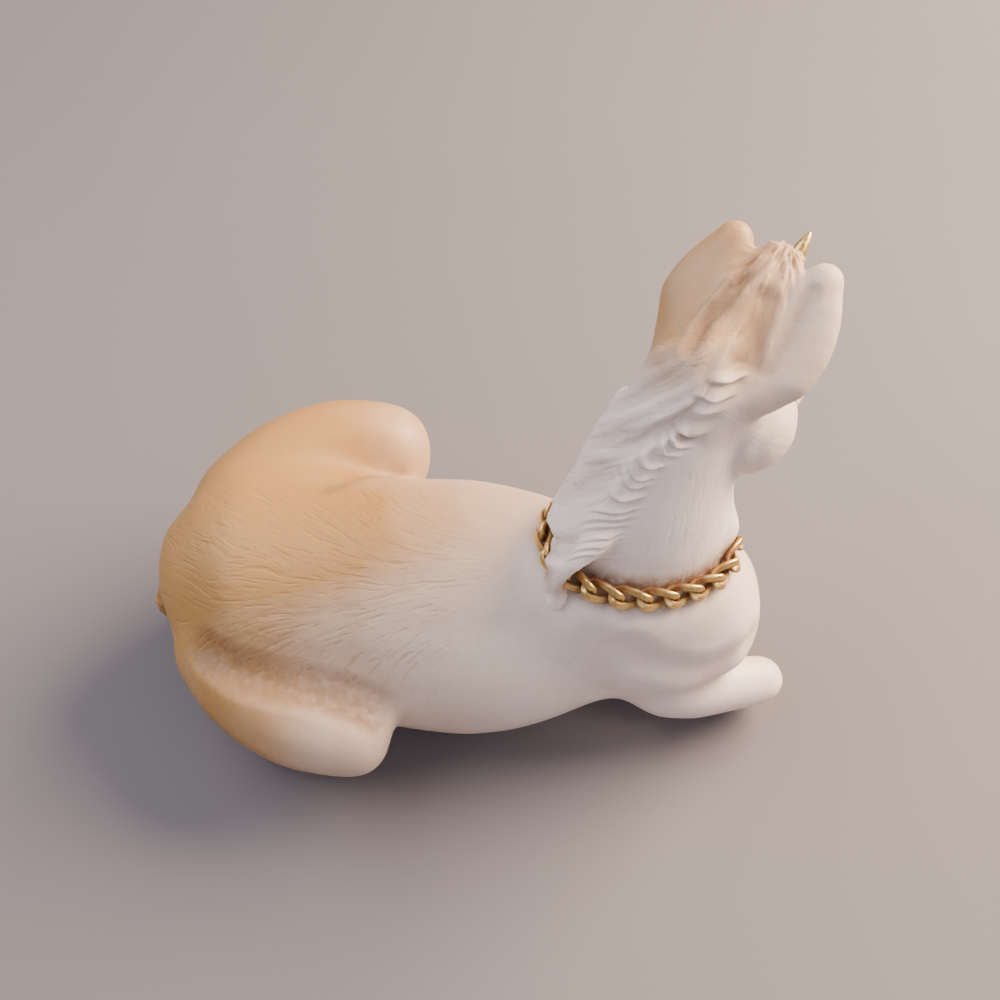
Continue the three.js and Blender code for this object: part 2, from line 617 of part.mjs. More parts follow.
// The room that the chain takes up, as one ring
const chainRoom = loopSkin(
  evenly(48, (k) => {
    const frame = chainFrame(k / 48);
    const [along, across, deep] = [vector([1, 0, 0]), vector([0, 1, 0]), UP];
    const half = [chainRise, linkHalfDepth + GLUE_GAP].map((h) => h * CHAIN_ROOM);
    const section = { centre: new THREE.Vector3(), along, across, deep, half };
    return outline(section, 10, 1, 0).map((point) => point.applyMatrix4(frame));
  }),
);

// Mane

const crest = Math.PI / 2;
const neckPoint = (share, angle, lift) => outlinePoint(sectionAt(NECK, share), angle, lift);
const rootPoints = [
  ...ROOT_SHARES.map((share) => neckPoint(share, crest, 0.6)),
  ...ROOT_ON_HEAD.map(headPoint),
];
const rootStations = rootPoints.map((at) => ({ at: at.toArray(), half: ROOT_HALF }));
const ridge = loft(rootStations, { up: vector(NECK[2].crest), steps: 9, sides: 7, domes: [2, 2] });

function lock(points) {
  const stations = points.map((at, i) => {
    const half = LOCK_HALF.map((h) => h * LOCK_SLIM[i]);
    return { at: at.toArray(), half };
  });
  return loft(stations, { up: UP, steps: 5, sides: 6, domes: [0, 2] });
}

const neckLocks = evenly(LOCK_COUNT, (i) => {
  const rise = i / (LOCK_COUNT - 1);
  const share = LOWEST_LOCK + (1 - LOWEST_LOCK) * rise;
  const root = sectionAt(rootStations, 0.1 + 0.65 * rise, UP).centre;
  const lift = THREE.MathUtils.lerp(...LOCK_LIFTS, rise);
  const ease = THREE.MathUtils.lerp(LOWEST_FALL, 1, rise);
  const course = LOCK_COURSE.map(({ turn, fall, off }) =>
    neckPoint(share - fall * ease, crest - turn, lift * off),
  );
  return lock([root, ...course]);
});
const napeLocks = evenly(NAPE_LOCK_COUNT, (i) =>
  lock(NAPE_LOCK.map((at, j) => headPoint(at.map((v, k) => v + i * NAPE_LOCK_STEP[j][k])))),
);
const overChain = CHAIN_ROOM * linkHalfDepth + WITHERS_LOCK_HALF[1] / 2;
const withersTip = outlinePoint(seat, crest + WITHERS_TURNS[1], SEAT_LEDGE + 1.5);
withersTip.addScaledVector(seat.along, -WITHERS_TIP_DROP);
const withersStations = [
  { at: neckPoint(0.36, crest, 0.4).toArray(), half: WITHERS_LOCK_HALF },
  { at: chainPoint(crest + WITHERS_TURNS[0], overChain).toArray(), half: WITHERS_LOCK_HALF },
  { at: withersTip.toArray(), half: WITHERS_TIP_HALF },
];
const withersLock = loft(withersStations, { up: seat.deep, steps: 5, sides: 8, domes: [2, 2.5] });
const maneRoot = sectionAt(rootStations, 0.35, UP).centre;
const maneEnd = maneRoot.clone().lerp(sectionAt(NECK, 0.5).centre, MANE_PEG.reach);
neckCuts.push(socket(maneRoot, maneEnd, MANE_PEG.radius));
const maneForm = cutBy(joined([ridge, ...neckLocks, ...napeLocks, withersLock]), [
  neckClear,
  headClear,
  torsoClear,
  chainRoom,
  forelockClear,
  ...earsClear,
]);
pieces.mane = outerSkin(maneForm.add(peg(maneRoot, maneEnd, MANE_PEG.radius)));

// The large castings, with the sockets for the others

const torsoWhole = torsoForm(0).intersect(aboveGround);
pieces.torso = outerSkin(cutBy(torsoWhole, [neckClear, chainRoom, ...torsoCuts]));
pieces.neck = cutBy(neckWhole, [chainRoom, ...neckCuts]);
pieces.head = cutBy(headForm(0), [neckClear, ...headCuts, ...nostrils]);

// Assembly

const IVORY_RESIN = { name: "ivory_resin", color: 0xd2bda6, roughness: 0.6, metalness: 0 };
const GILT_BRASS = { name: "gilt_brass", color: 0xc8a25c, roughness: 0.38, metalness: 1 };
const GILT_PAINT = { name: "gilt_paint", color: 0xd2b06a, roughness: 0.35, metalness: 0.6 };

function materialOf(name) {
  if (name === "horn") return new THREE.MeshStandardMaterial(GILT_PAINT);
  return new THREE.MeshStandardMaterial(name.startsWith("chain_link") ? GILT_BRASS : IVORY_RESIN);
}

const figurine = new THREE.Group();
figurine.name = "unicorn_figurine";
for (const [name, solid] of Object.entries(pieces)) {
  const mesh = new THREE.Mesh(geometryOf(solid), materialOf(name));
  mesh.name = name;
  figurine.add(mesh);
}
const middle = new THREE.Box3().setFromObject(figurine).getCenter(new THREE.Vector3());
figurine.position.set(-middle.x, -middle.y, 0);

export default figurine;
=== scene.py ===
"""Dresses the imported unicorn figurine: carved resin, hair, gilt horn and chain, on a plain stage."""

import math

import bpy
import numpy as np
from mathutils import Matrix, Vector
from mathutils.bvhtree import BVHTree


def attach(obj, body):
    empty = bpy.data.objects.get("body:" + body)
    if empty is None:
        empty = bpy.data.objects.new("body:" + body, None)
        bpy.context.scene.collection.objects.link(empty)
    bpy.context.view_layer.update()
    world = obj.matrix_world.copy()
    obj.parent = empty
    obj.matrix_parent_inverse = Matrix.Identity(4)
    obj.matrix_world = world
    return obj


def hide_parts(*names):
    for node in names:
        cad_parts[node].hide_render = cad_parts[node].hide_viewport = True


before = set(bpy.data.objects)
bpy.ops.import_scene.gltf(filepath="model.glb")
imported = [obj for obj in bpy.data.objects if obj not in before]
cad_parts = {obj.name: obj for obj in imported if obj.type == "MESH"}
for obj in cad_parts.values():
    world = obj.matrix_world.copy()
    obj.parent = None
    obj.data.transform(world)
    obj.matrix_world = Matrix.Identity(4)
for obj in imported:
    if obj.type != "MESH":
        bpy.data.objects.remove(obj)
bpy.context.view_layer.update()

bl_info = {
    "name": "Unicorn Figurine",
    "version": (1, 0, 0),
    "blender": (4, 5, 0),
    "location": "View3D > Sidebar > Figurine",
    "description": "Carved and painted surfaces for a lying unicorn figurine",
    "category": "Object",
}

MM = 0.001
TINY = 1e-9

# The castings. Each group is blended into one skin. The filler closes a skin and isn't kept.

UPPER_CASTINGS = ("neck", "head", "mane", "forelock", "ear_left", "ear_right", "torso")
UPPER_FILLER = "torso"
LOWER_CASTINGS = (
    "torso",
    "hind_leg_right",
    "hind_leg_left",
    "foreleg_right",
    "foreleg_left",
    "tail",
    "neck",
)
LOWER_FILLER = "neck"
HAIR = ("mane", "forelock", "tail")
LINKS = tuple(sorted(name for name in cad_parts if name.startswith("chain_link")))

# Making of the skins: lengths in millimetres, rounds and shares of smoothing

SWELL = 0.32  # closes the glue gaps
REACH = 6.0  # how far off a casting still counts
CAP_DEPTH = 0.8  # how far within its rim a piece is closed
SMALLEST_PATCH = 60  # in faces
PATCH_ROUNDS = 3
GAP_ROUNDS = 4
SEAM_GAPS = (1.0, 4.5)  # how much nearer the nearest casting is, on a seam and off it
SHARE_FALL = 1.2  # how fast a casting's share falls with the distance
FIRST_ROUNDS = 3
FILL_ROUNDS = 60
HOLLOW_ROUNDS = 10
BODY_ROUNDS = 40
BODY_SOFTNESS = 0.6
BODY_CRISPNESS = 0.46  # taken off the softness at hooves and tail
BODY_HOLLOW_GAIN = 1.1
HEAD_ROUNDS = 30
HEAD_HOLLOW_GAIN = 1.3
STEP_ROUNDS = 220  # for the steps and the tip of the lock
BAY_ROUNDS = 12

# Patterns: points along a line, points in one batch, cells of the noise table and its limits

LINE_POINTS = 160
LINE_ROUNDS = 6
BATCH = 20000
NOISE_CELLS = 64
NOISE_LIMIT = 1.8  # in spreads
SAMPLES_PER_WIDTH = 1.6  # along a strand
WAVE_GRAIN = 4.5
WAVINESS = 0.17

# Places on the figurine, in millimetres of the shared frame

COAT_AXIS = ((-54.0, -35.0, -17.0, -3.0, 25.0), (-18.7, -18.2, -15.7, -12.9, -3.44))
SPINE_HEIGHT = 28.0
POLL = np.array([52.49, 9.56, 112.0])
HEAD_TURN = math.radians(57)
HEAD_FALL = math.radians(40)
NECK_HEIGHTS = (54.0, 72.0, 85.0, 96.0, 110.0)
NECK_X = (38.99, 42.79, 43.99, 46.79, 52.0)
NECK_Y = (-4.04, -1.44, 1.96, 4.76, 8.8)
CREST_TURNS = np.unwrap(np.radians((197.5, 220.5, 227.0, 233.1, 237.0)))
PARTING = (
    (25.2, -19.5, 71.0),
    (26.5, -17.9, 74.4),
    (28.4, -15.5, 78.3),
    (30.1, -13.9, 81.5),
    (32.5, -13.0, 84.9),
    (34.4, -11.8, 89.0),
    (36.3, -10.9, 92.8),
    (38.8, -9.8, 97.0),
    (43.6, -6.8, 100.2),
    (45.8, -6.1, 103.3),
    (47.8, -4.4, 107.2),
    (49.7, -2.9, 109.6),
    (51.3, -0.9, 111.6),
    (53.0, 0.6, 114.0),
)
TAIL_LINE = (
    (-66.0, -3.44, 35.0),
    (-72.5, -2.94, 27.0),
    (-73.0, 0.56, 15.0),
    (-69.0, 9.56, 6.5),
    (-61.0, 20.56, 4.6),
    (-52.0, 29.56, 3.6),
)
THIGH_CREVICE = ((-32.5, 8.0, 57.0), (-29.3, 10.6, 55.6), (-23.6, 17.7, 50.4), (-19.1, 25.6, 43.6))
NEAR_GROOVE = (
    (-56.0, -26.6, 38.9),
    (-48.4, -31.6, 39.8),
    (-38.3, -34.0, 39.8),
    (-31.2, -34.4, 39.0),
    (-24.0, -35.6, 37.8),
    (-16.8, -37.0, 35.3),
)
CHEST_CREASE = (
    (37.6, -25.7, 51.0),
    (41.0, -24.6, 45.8),
    (45.4, -24.2, 42.6),
    (50.6, -23.0, 39.8),
    (56.3, -20.4, 38.0),
    (62.0, -17.7, 38.8),
    (66.0, -13.5, 38.6),
)
ELBOW_CREASE = ((30.4, -25.3, 54.1), (31.9, -25.2, 43.4), (32.0, -24.2, 31.3))
EAR_CREVICE = (
    (54.5, 20.5, 122.5),
    (52.6, 16.1, 121.7),
    (49.7, 12.3, 119.8),
    (46.4, 8.9, 116.9),
    (43.5, 2.3, 117.1),
)
EAR_CREASE = (
    (66.4, 12.9, 122.7),
    (64.5, 9.6, 119.7),
    (62.9, 6.7, 117.0),
    (61.0, 4.3, 114.6),
    (58.8, 1.5, 111.8),
)
FORELOCK_VALLEY = (
    (57.9, 11.4, 121.3),
    (56.9, 8.2, 119.6),
    (56.1, 5.4, 117.7),
    (55.8, 3.1, 116.0),
    (55.2, 1.4, 114.3),
)
POLL_STEP = ((38.7, 11.7, 109.9), (42.0, 5.6, 116.8), (45.5, 4.0, 119.3), (50.9, 5.9, 118.4))
EAR_ROOT = ((56.4, -2.5, 100.7), (58.5, -4.4, 104.0), (59.9, -5.3, 106.0), (61.8, -4.4, 107.1))
LOCK_TIP = (19.5, -21.5, 64.0)
WITHERS_BAY = (22.5, -9.5, 70.5)
BAY_SHIFT = np.array([-4.6, 0.3, 0.8])
BAY_WIDTH = 5.5

# Creases: the line, its width and its depth

BODY_CREASES = ((NEAR_GROOVE, 7.0, 2.4), (CHEST_CREASE, 7.5, 1.5), (ELBOW_CREASE, 7.0, 1.2))
HEAD_CREASES = ((EAR_CREASE, 2.6, 0.4), (EAR_CREVICE, 3.5, 0.9), (FORELOCK_VALLEY, 4.0, 1.1))

# Painted shade along creases and crevices, with some dirt: the line, its width and its strength

SHADE_LINES = (
    (THIGH_CREVICE, 3.4, 0.7),
    (EAR_CREVICE, 5.0, 0.75),
    (EAR_CREASE, 3.0, 0.4),
    (NEAR_GROOVE, 8.5, 0.9),
)
# Painted shade beside the chain, with some brown wash: width, gain and strength of the darker band
CHAIN_SHADE_WIDTH = 6.5
CHAIN_SHADE_GAIN = 1.7
CHAIN_SHADE = 0.95

# Swellings: the middle, the width and the height

NECK_SWELLINGS = (((58.5, -2.0, 66.0), 4.5, 1.9), ((57.5, -2.0, 76.5), 7.0, -1.1))
HEAD_SWELLINGS = (((64.3, 2.7, 90.5), 8.0, 2.6),)

# Steps that are smoothed away: the line and its width

SOFT_LINES = ((POLL_STEP, 12.0), (EAR_ROOT, 6.0))
LOCK_TIP_WIDTH = 8.5

# The body. A pair says where something begins and where it is full, in millimetres.

FAR_SEAM_BACK = (26.0, 36.0)
FAR_SEAM_LEFT = (-4.0, 4.0)
NEAR_SEAM_FILL = 0.12
CRISP_HEIGHTS = (10.0, 18.0)
COAT_SPREAD = 30.0  # how far from the spine the coat turns down
COAT_FAR = (18.0, 32.0)
COAT_NEAR = (13.0, 22.0)
COAT_BACK = (-14.0, 12.0)
COAT_HEIGHTS = (6.0, 12.0)
COAT_LEAST = 0.06  # strokes beside the back
WARMTH_X = (-65.0, -30.0, -5.0, 25.0)
WARMTH_LEVELS = (1.0, 0.9, 0.55, 0.15)
KNEE_RIGHT = (15.0, 30.0)
KNEE_X = (-45.0, -25.0)
KNEE_PALENESS = 0.35
FAR_WARMTH = 0.25
FAR_WARMTH_EDGE = (-6.0, 8.0)
FAR_WARMTH_LOSS = 0.6
# Painted shade: the near side of the rump is darkened towards the shade and grime colour
RUMP_SHADE = 0.2
RUMP_SHADE_BACK = (12.0, 42.0)
RUMP_SHADE_NEAR = (0.0, 14.0)
CORONETS = {
    "hind_leg_right": (-32.5, 1),
    "hind_leg_left": (-32.5, 1),
    "foreleg_right": (49.0, -1),
    "foreleg_left": (42.0, -1),
}
CORONET_HEIGHTS = (10.0, 15.0)

# Strokes and strands: length, width and seed of the noise

BODY_STROKES = (7.0, 1.2, 11)
BODY_STROKE_EDGES = (0.4, 1.9)
BODY_STROKE_GAIN = 1.1
BODY_WAVE_SEED = 5
HEAD_STROKES = (5.0, 1.0, 61)
HEAD_STROKE_EDGES = (0.3, 1.7)
HEAD_STROKE_GAIN = 0.25
HEAD_WAVE_SEED = 65
TAIL_STRANDS = (16.0, 1.9, 31)
TAIL_HAIRS = (9.0, 0.9, 33)
TAIL_HAIR_SHARE = 0.35
TAIL_RELIEF = 0.32
TAIL_EDGE = 0.02
TAIL_HOLLOW = 0.5
TAIL_HOLLOW_DEPTHS = (0.0, 0.35)

# The mane: its fall round the neck and down, its folds and where they fade

MANE_FALL = (0.55, 0.835)  # round the neck and down
MANE_RADIUS = 16.0  # of the neck under the mane
MANE_DEPTH_GRAIN = 9.0
MANE_EDGE = (0.8, 4.0)
MANE_FILL = 0.9
SEAM_FILL = 0.7
EAR_EDGE = (0.1, 0.4)
NECK_FALL = (-0.1, -0.15, -1.0)
MANE_FOLDS = (18.0, 2.8, 21)
FOLD_LOSS = 0.3
FOLD_LOSS_GAPS = (9.0, 19.0)
MANE_STRANDS = (10.0, 0.8, 23)
MANE_STRAND_HEIGHT = 0.13
STEP_CLEARANCE = 11.0
TIP_CLEARANCE = 8.0
TIP_LOSS = 0.9
FAR_RIM_GAP = 19.0
FAR_RIM_WIDTH = 5.5
FAR_RIM_LOSS = 0.75

# The curls. Rises run along the parting from 0 at the withers to 1 at the poll.

CURL_RISES = (0.0, 0.25, 0.4, 0.58, 0.9, 1.0)
CURL_SLOPES = (-1.6, -0.8, 0.9, 0.9, -0.6, -0.9)
CURL_LEAN = 0.9  # of the tips on the neck
CURL_PITCH = 1.7  # at the withers
CURL_PITCH_GAIN = 3.6  # from the withers to the poll
CURL_DRIFTS = ((0.18, 1.9, 0.0), (0.1, 4.3, 1.0))  # size, rate and start
CURL_FRONT = 0.3
CURL_TAPER = 0.8
CURL_SINK = 0.3  # of the groove before a curl
CURL_KINDS = 64
CURL_SIZES = (0.7, 1.2)
CURL_SEED = 17
CURL_REACH = 8.5
CURL_REACH_LOSS = 4.5
CURL_REACH_RISES = (0.1, 0.5)
CURL_REACH_FADE = 1.5
CURL_TIP = -0.6
CURL_ROOT = (-4.4, -0.8)
CURL_START = (-0.5, 2.0)
CURL_END = (-4.0, 0.0)
CURL_LEAST = 0.3
CURL_FULL_RISE = 0.45

# The forelock: height, fan and seed of its locks and of its strands

FORELOCK_LOCKS = ((0.42, 8.0, 51), (0.16, 17.6, 53))
FORELOCK_WAVE_GRAIN = 6.0
FORELOCK_WAVINESS = 0.3
FORELOCK_DRAW = 30.0  # length over which a strand changes

# Places in the head's own frame: to the muzzle, to the left, out of the forehead

EYE_AT = (19.0, 9.6, -5.5)
EYE_HALF = (3.4, 2.0)
EYE_SLANT = 0.05
EYE_SIDE = (4.5, 6.5)
BROW_RISE = 3.9
BROW_BEND = 0.03
BROW_WIDTH = 1.1
BROW_HEIGHT = 0.5
BROW_ENDS = (-4.5, -2.5)
NOSTRIL_AT = (46.0, 4.6, -7.0)
NOSTRIL_HALF = (2.3, 1.5)
NOSTRIL_SLANT = 0.4
NOSTRIL_SIDE = (2.0, 3.5)
MOUTH = ((28.5, -15.6), (34.0, -14.8), (42.0, -14.0), (49.0, -14.6))
MOUTH_CORNER = (27.0, 31.0)
CHEEK_AT = (15.0, 7.6, -15.0)
CHEEK_HALF = (10.5, 9.5)
CHEEK_SIDE = (5.0, 8.0)
FORELOCK_TIP = (6.0, 0.0, 21.5)

# Ridges and grooves round a place or beside a line: the distance, the width and the height

EYE_RIDGES = ((1.25, 0.22, 0.55), (0.95, 0.14, -0.5), (0.0, 0.6, 0.35))
NOSTRIL_RIDGES = ((1.35, 0.3, 0.5), (0.0, 0.8, -0.9))
MOUTH_RIDGES = ((1.3, 0.6, 0.25), (0.0, 0.55, -0.7))
CHEEK_RIDGES = ((1.0, 0.16, 0.3),)
CORONET_RIDGES = ((0.0, 1.6, 0.3), (2.0, 0.7, -0.45))

# The horn: places in the head's own frame, lengths, shares and counts

HORN_FOOT = (11.0, 0.0, -1.0)
HORN_TIP = (15.8, 0.0, 24.4)
HORN_RADIUS = 4.7
HORN_BLUNTNESS = 0.6
HORN_TURNS = 2.5  # of a groove, from foot to tip
HORN_RINGS = 90
HORN_SIDES = 32
HORN_SWELL = 1.03
GROOVE_DEPTH = 0.16
GROOVE_HALF_TURN = 0.9  # in radians
GROOVE_WASH = 0.5

# The chain's links: lengths in millimetres, shares and counts

LINK_HALF_WIDTH = 1.75
LINK_TWIST = 1.05
LINK_TILT = 0.35  # in radians
LINK_SQUARENESS = 0.85
LINK_FLAT = 0.55
LINK_TURNS = 56
LINK_SIDES = 16
LINK_END = 0.75  # from a link's end to the middle of its wire
# Painted shade with some dark wash on the side of a link towards the neck and on its inner edges
LINK_WASH_AND_SHADE_DEPTHS = (-1.2, 0.2)
LINK_INNER_EDGE = (0.2, 0.9)
LINK_INNER_WASH_AND_SHADE = 0.9

# Softness and tan of the upper castings

UPPER_SOFTNESS = {
    "neck": 0.5,
    "head": 0.18,
    "mane": 0.55,
    "forelock": 0.4,
    "ear_left": 0.2,
    "ear_right": 0.2,
    "torso": 0.6,
}
UPPER_WARMTH = {
    "neck": 0.04,
    "head": 0.2,
    "mane": 0.02,
    "forelock": 0.8,
    "ear_left": 0.92,
    "ear_right": 0.45,
    "torso": 0.08,
}
POLL_WARMTH = 0.85
POLL_WARMTH_WIDTH = 17.0
# Painted shade with some wash in the hollows of neck, head and hair: how strongly they are darkened
HEAD_HOLLOW = 0.7
MANE_HOLLOW = 0.35
FORELOCK_HOLLOW = 0.6
HAIR_HOLLOW_DEPTHS = (0.1, 0.7)
HEAD_COAT = 0.22
NECK_COAT = 0.08
HAIR_COAT = 0.5

# Finishes. Scales of noise are in waves for each metre, lengths in metres.

STROKE_SAMPLES = 11
STROKE_REACH = 0.0024
HAIR_STROKE_REACH = 0.0026
STROKE_SCALE = 1250.0
STROKE_BUMP = 0.5
RESIN_GRAIN_SCALE = 900.0
RESIN_GRAIN = 0.15
RESIN_BUMP_DEPTH = 0.00025
RESIN_SHINE = 0.4
STROKE_TINT = 0.3
GILT_BUMP = 0.3
GILT_BUMP_DEPTH = 0.00008
RUBBED_GOLD = (0.98, 0.8, 0.45)
# Dark wash in the horn's grooves; on the chain it is painted shade with some dark wash
WASH_AND_SHADE_COVER = 0.75
WASH_AND_SHADE_DULLNESS = 0.3
HORN_WASH = (0.36, 0.2, 0.06)
HORN_ROUGHNESS = 0.3
CHAIN_WASH_AND_SHADE = (0.17, 0.065, 0.02)
CHAIN_ROUGHNESS = 0.26
PAPER_CLOUD_SCALE = 6.0
PAPER_SHADE = 0.96
PAPER_ROUGHNESS = 0.8

# Noise in the finishes: its scale, its detail and its roughness

STROKE_PATCH_NOISE = (110.0, 2.0)
PATINA_CLOUDS = (60.0, 4.0)
PATINA_SPECKS = (450.0, 4.0, 0.65)
GILT_CLOUDS = (350.0, 4.0, 0.6)
GILT_RUBBING = (1500.0, 3.0, 0.6)

# What a noise becomes in the finishes: its low and high value, then the values they are taken to

STROKE_EDGES = (0.505, 0.6)
STROKE_PATCHES = (0.3, 0.62, 0.35, 1.0)
PATINA_DRIFT = (0.3, 0.72, -0.06, 0.06)
PATINA_FLECKS = (0.54, 0.74, 0.0, 0.14)
# The next two darken hollows and creases: painted shade with some wash, grime and dirt
PATINA_HOLLOWS = (0.25, 0.7, 0.3, 0.65)
PATINA_STAIN_SHADE = (0.3, 0.6, 0.55, 1.0)
PATINA_ROUGHNESS = (0.3, 1.1, 0.4, 0.72)
GILT_WASH_AND_SHADE = (0.25, 0.6, 0.6, 1.0)
GILT_PALENESS = (0.4, 0.7, 0.0, 0.35)
GILT_WEAR = (0.3, 0.7, -0.06, 0.08)
PAPER_CLOUDS = (0.3, 0.7)

# The stage, in metres. A lamp has a name, a place, a size, a power and a colour.

FLOOR_SIZE = 6.0
FLOOR_DROP = -0.0002
SKY_COLOUR = (0.82, 0.8, 0.84)
SKY_STRENGTH = 0.43
LAMP_TARGET = (0.0, 0.0, 0.045)
LAMPS = (
    ("key_lamp", (0.53, 0.32, 0.47), 0.7, 34.0, (1.0, 0.78, 0.55)),
    ("left_lamp", (-0.45, 0.05, 0.6), 0.8, 5.6, (0.95, 0.95, 1.0)),
    ("front_lamp", (0.32, -0.5, 0.42), 0.8, 1.7, (0.97, 0.95, 1.0)),
)
CAMERA_PLACE = (0.02403, -0.18628, 0.30737)
CAMERA_TARGET = (0.00616, 0.01795, 0.04496)
CAMERA_LENS = 50.0
CAMERA_SENSOR = 36.0
CAMERA_NEAREST = 0.01


# Settings that a user would change


def length_setting(name, description, default, low, high):
    """A length that the user can change."""
    return bpy.props.FloatProperty(
        name=name,
        description=description,
        default=default,
        min=low,
        max=high,
        unit="LENGTH",
        precision=5,
    )


def colour_setting(name, description, default):
    """A colour that the user can change."""
    return bpy.props.FloatVectorProperty(
        name=name,
        description=description,
        default=default,
        size=3,
        min=0.0,
        max=1.0,
        subtype="COLOR",
    )


class FigurineSizes(bpy.types.PropertyGroup):
    """Grain, depths and counts of the carving."""

    body_grain: length_setting(
        "Body Grain",
        "Edge of the small cubes that torso, legs and tail are blended in",
        default=0.00095,
        low=0.0006,
        high=0.003,
    )
    head_grain: length_setting(
        "Head Grain",
        "Edge of the small cubes that neck, head, ears and hair are blended in",
        default=0.0006,
        low=0.0004,
        high=0.002,
    )
    stroke_depth: length_setting(
        "Coat Stroke Depth",
        "Depth of the strokes that stand for the coat",
        default=0.0001,
        low=0.0,
        high=0.0005,
    )
    fold_depth: length_setting(
        "Mane Fold Depth",
        "Depth of the soft folds between the locks of the mane",
        default=0.00099,
        low=0.0,
        high=0.002,
    )
    curl_height: length_setting(
        "Curl Height",
        "Height of the largest curls along the parting of the mane",
        default=0.0021,
        low=0.0,
        high=0.004,
    )
    wire: length_setting(
        "Chain Wire",
        "Thickness of the wire of a chain link",
        default=0.0017,
        low=0.001,
        high=0.002,
    )
    horn_grooves: bpy.props.IntProperty(
        name="Horn Grooves",
        description="How many grooves wind round the horn",
        default=2,
        min=1,
        max=4,
    )


class FigurineColours(bpy.types.PropertyGroup):
    """Colours of the finishes."""

    ivory: colour_setting("Ivory", "Colour of the clean resin", (0.82, 0.7, 0.665))
    tan: colour_setting("Tan Wash", "Colour of the warm wash on hindquarters and ears", (0.39, 0.2, 0.062))
    # The shade and grime colour darkens hollows, creases, the band beside the chain and the near rump:
    # painted shade, with some grime and wash
    shade_and_grime: colour_setting("Shade and Grime", "Colour of the dirt in the deep grooves", (0.24, 0.12, 0.05))
    gilt: colour_setting("Gilt", "Colour of the gold on the chain and the horn", (0.85, 0.55, 0.18))
    floor: colour_setting("Floor", "Colour of the stage's floor", (0.155, 0.138, 0.153))


# Meshes as arrays: points in millimetres and faces of three or four corners


def node_mesh(name):
    """Points and triangles of a CAD node, with its split corners joined."""
    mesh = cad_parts[name].data
    points = np.empty(len(mesh.vertices) * 3, np.float32)
    mesh.vertices.foreach_get("co", points)
    mesh.calc_loop_triangles()
    corners = np.empty(len(mesh.loop_triangles) * 3, np.int32)
    mesh.loop_triangles.foreach_get("vertices", corners)
    whole = np.round(points.reshape(-1, 3).astype(float) / MM, 3)
    joined, back = np.unique(whole, axis=0, return_inverse=True)
    return joined, back.ravel()[corners].reshape(-1, 3)


def normals_of(points, faces):
    """Unit normals at the points."""
    corners = points[faces.T]
    if len(corners) == 4:
        flat = np.cross(corners[2] - corners[0], corners[3] - corners[1])
    else:
        flat = np.cross(corners[1] - corners[0], corners[2] - corners[0])
    total = np.zeros_like(points)
    for corner in faces.T:
        for axis in range(3):
            total[:, axis] += np.bincount(corner, flat[:, axis], len(points))
    return total / np.maximum(np.linalg.norm(total, axis=1, keepdims=True), TINY)


def sides_of(faces):
    """The directed sides of the faces, one row of two point numbers each, corner by corner."""
    count = faces.shape[1]
    return np.concatenate([faces[:, [i, (i + 1) % count]] for i in range(count)])


def edges_of(faces):
    """Each edge of the faces once, as two rows of point numbers."""
    return np.unique(np.sort(sides_of(faces), axis=1), axis=0).T


def around(values, edges):
    """The mean of the neighbours' values, at each point."""
    a, b = edges
    size = len(values)
    count = np.maximum(np.bincount(a, minlength=size) + np.bincount(b, minlength=size), 1)
    rows = values.reshape(size, -1).T
    total = [np.bincount(a, row[b], size) + np.bincount(b, row[a], size) for row in rows]
    return (np.stack(total, 1) / count[:, None]).reshape(values.shape)


def eased(values, edges, rounds, share=0.5):
    """Values, or points, after rounds of smoothing. share is a number or one for each point."""
    if np.ndim(share) and values.ndim == 2:
        share = share[:, None]
    for _ in range(rounds):
        values = values + share * (around(values, edges) - values)
    return values


def filled(points, faces, edges, rounds, share):
    """Points after rounds of filling: hollows rise towards their neighbours, all else stays."""
    for _ in range(rounds):
        normals = normals_of(points, faces)
        rise = ((around(points, edges) - points) * normals).sum(1)
        points = points + normals * (share * np.maximum(rise, 0))[:, None]
    return points


def mesh_object(name, points, faces, normals=None):
    """A new object from points, a list of faces and, if given, the normals at the points."""
    mesh = bpy.data.meshes.new(name)
    mesh.from_pydata((points * MM).tolist(), [], faces)
    mesh.shade_smooth()
    if normals is not None:
        mesh.normals_split_custom_set_from_vertices(normals.tolist())
    made = bpy.data.objects.new(name, mesh)
    bpy.context.scene.collection.objects.link(made)
    return made


def shaped(points, faces, kind, marks=None, **values):
    """Points, quads and marks of a mesh after one of Blender's modifiers."""
    holder = mesh_object("holder", points, faces.tolist())
    for name, mark in (marks or {}).items():
        holder.data.attributes.new(name, "FLOAT", "POINT").data.foreach_set("value", mark.astype(np.float32))
    modifier = holder.modifiers.new("shape", kind)
    for key, value in values.items():
        setattr(modifier, key, value)
    bpy.context.view_layer.update()
    final = holder.evaluated_get(bpy.context.evaluated_depsgraph_get())
    mesh = final.to_mesh()
    out = np.empty(len(mesh.vertices) * 3, np.float32)
    mesh.vertices.foreach_get("co", out)
    corners = np.empty(len(mesh.loops), np.int32)
    mesh.loops.foreach_get("vertex_index", corners)
    carried = {}
    for name in marks or {}:
        carried[name] = np.empty(len(mesh.vertices), np.float32)
        mesh.attributes[name].data.foreach_get("value", carried[name])
    final.to_mesh_clear()
    bpy.data.objects.remove(holder)
    return out.reshape(-1, 3).astype(float) / MM, corners.reshape(-1, 4), carried


def blended(castings, grain, swell):
    """One closed skin over several castings, each first swollen a little so that glue gaps close."""
    points, faces, count = [], [], 0
    for name in castings:
        own, triangles = node_mesh(name)
        points.append(own + swell * normals_of(own, triangles))
        faces.append(triangles + count)
        count += len(own)
    skin = shaped(np.concatenate(points), np.concatenate(faces), "REMESH", mode="VOXEL", voxel_size=grain)
    return skin[:2]


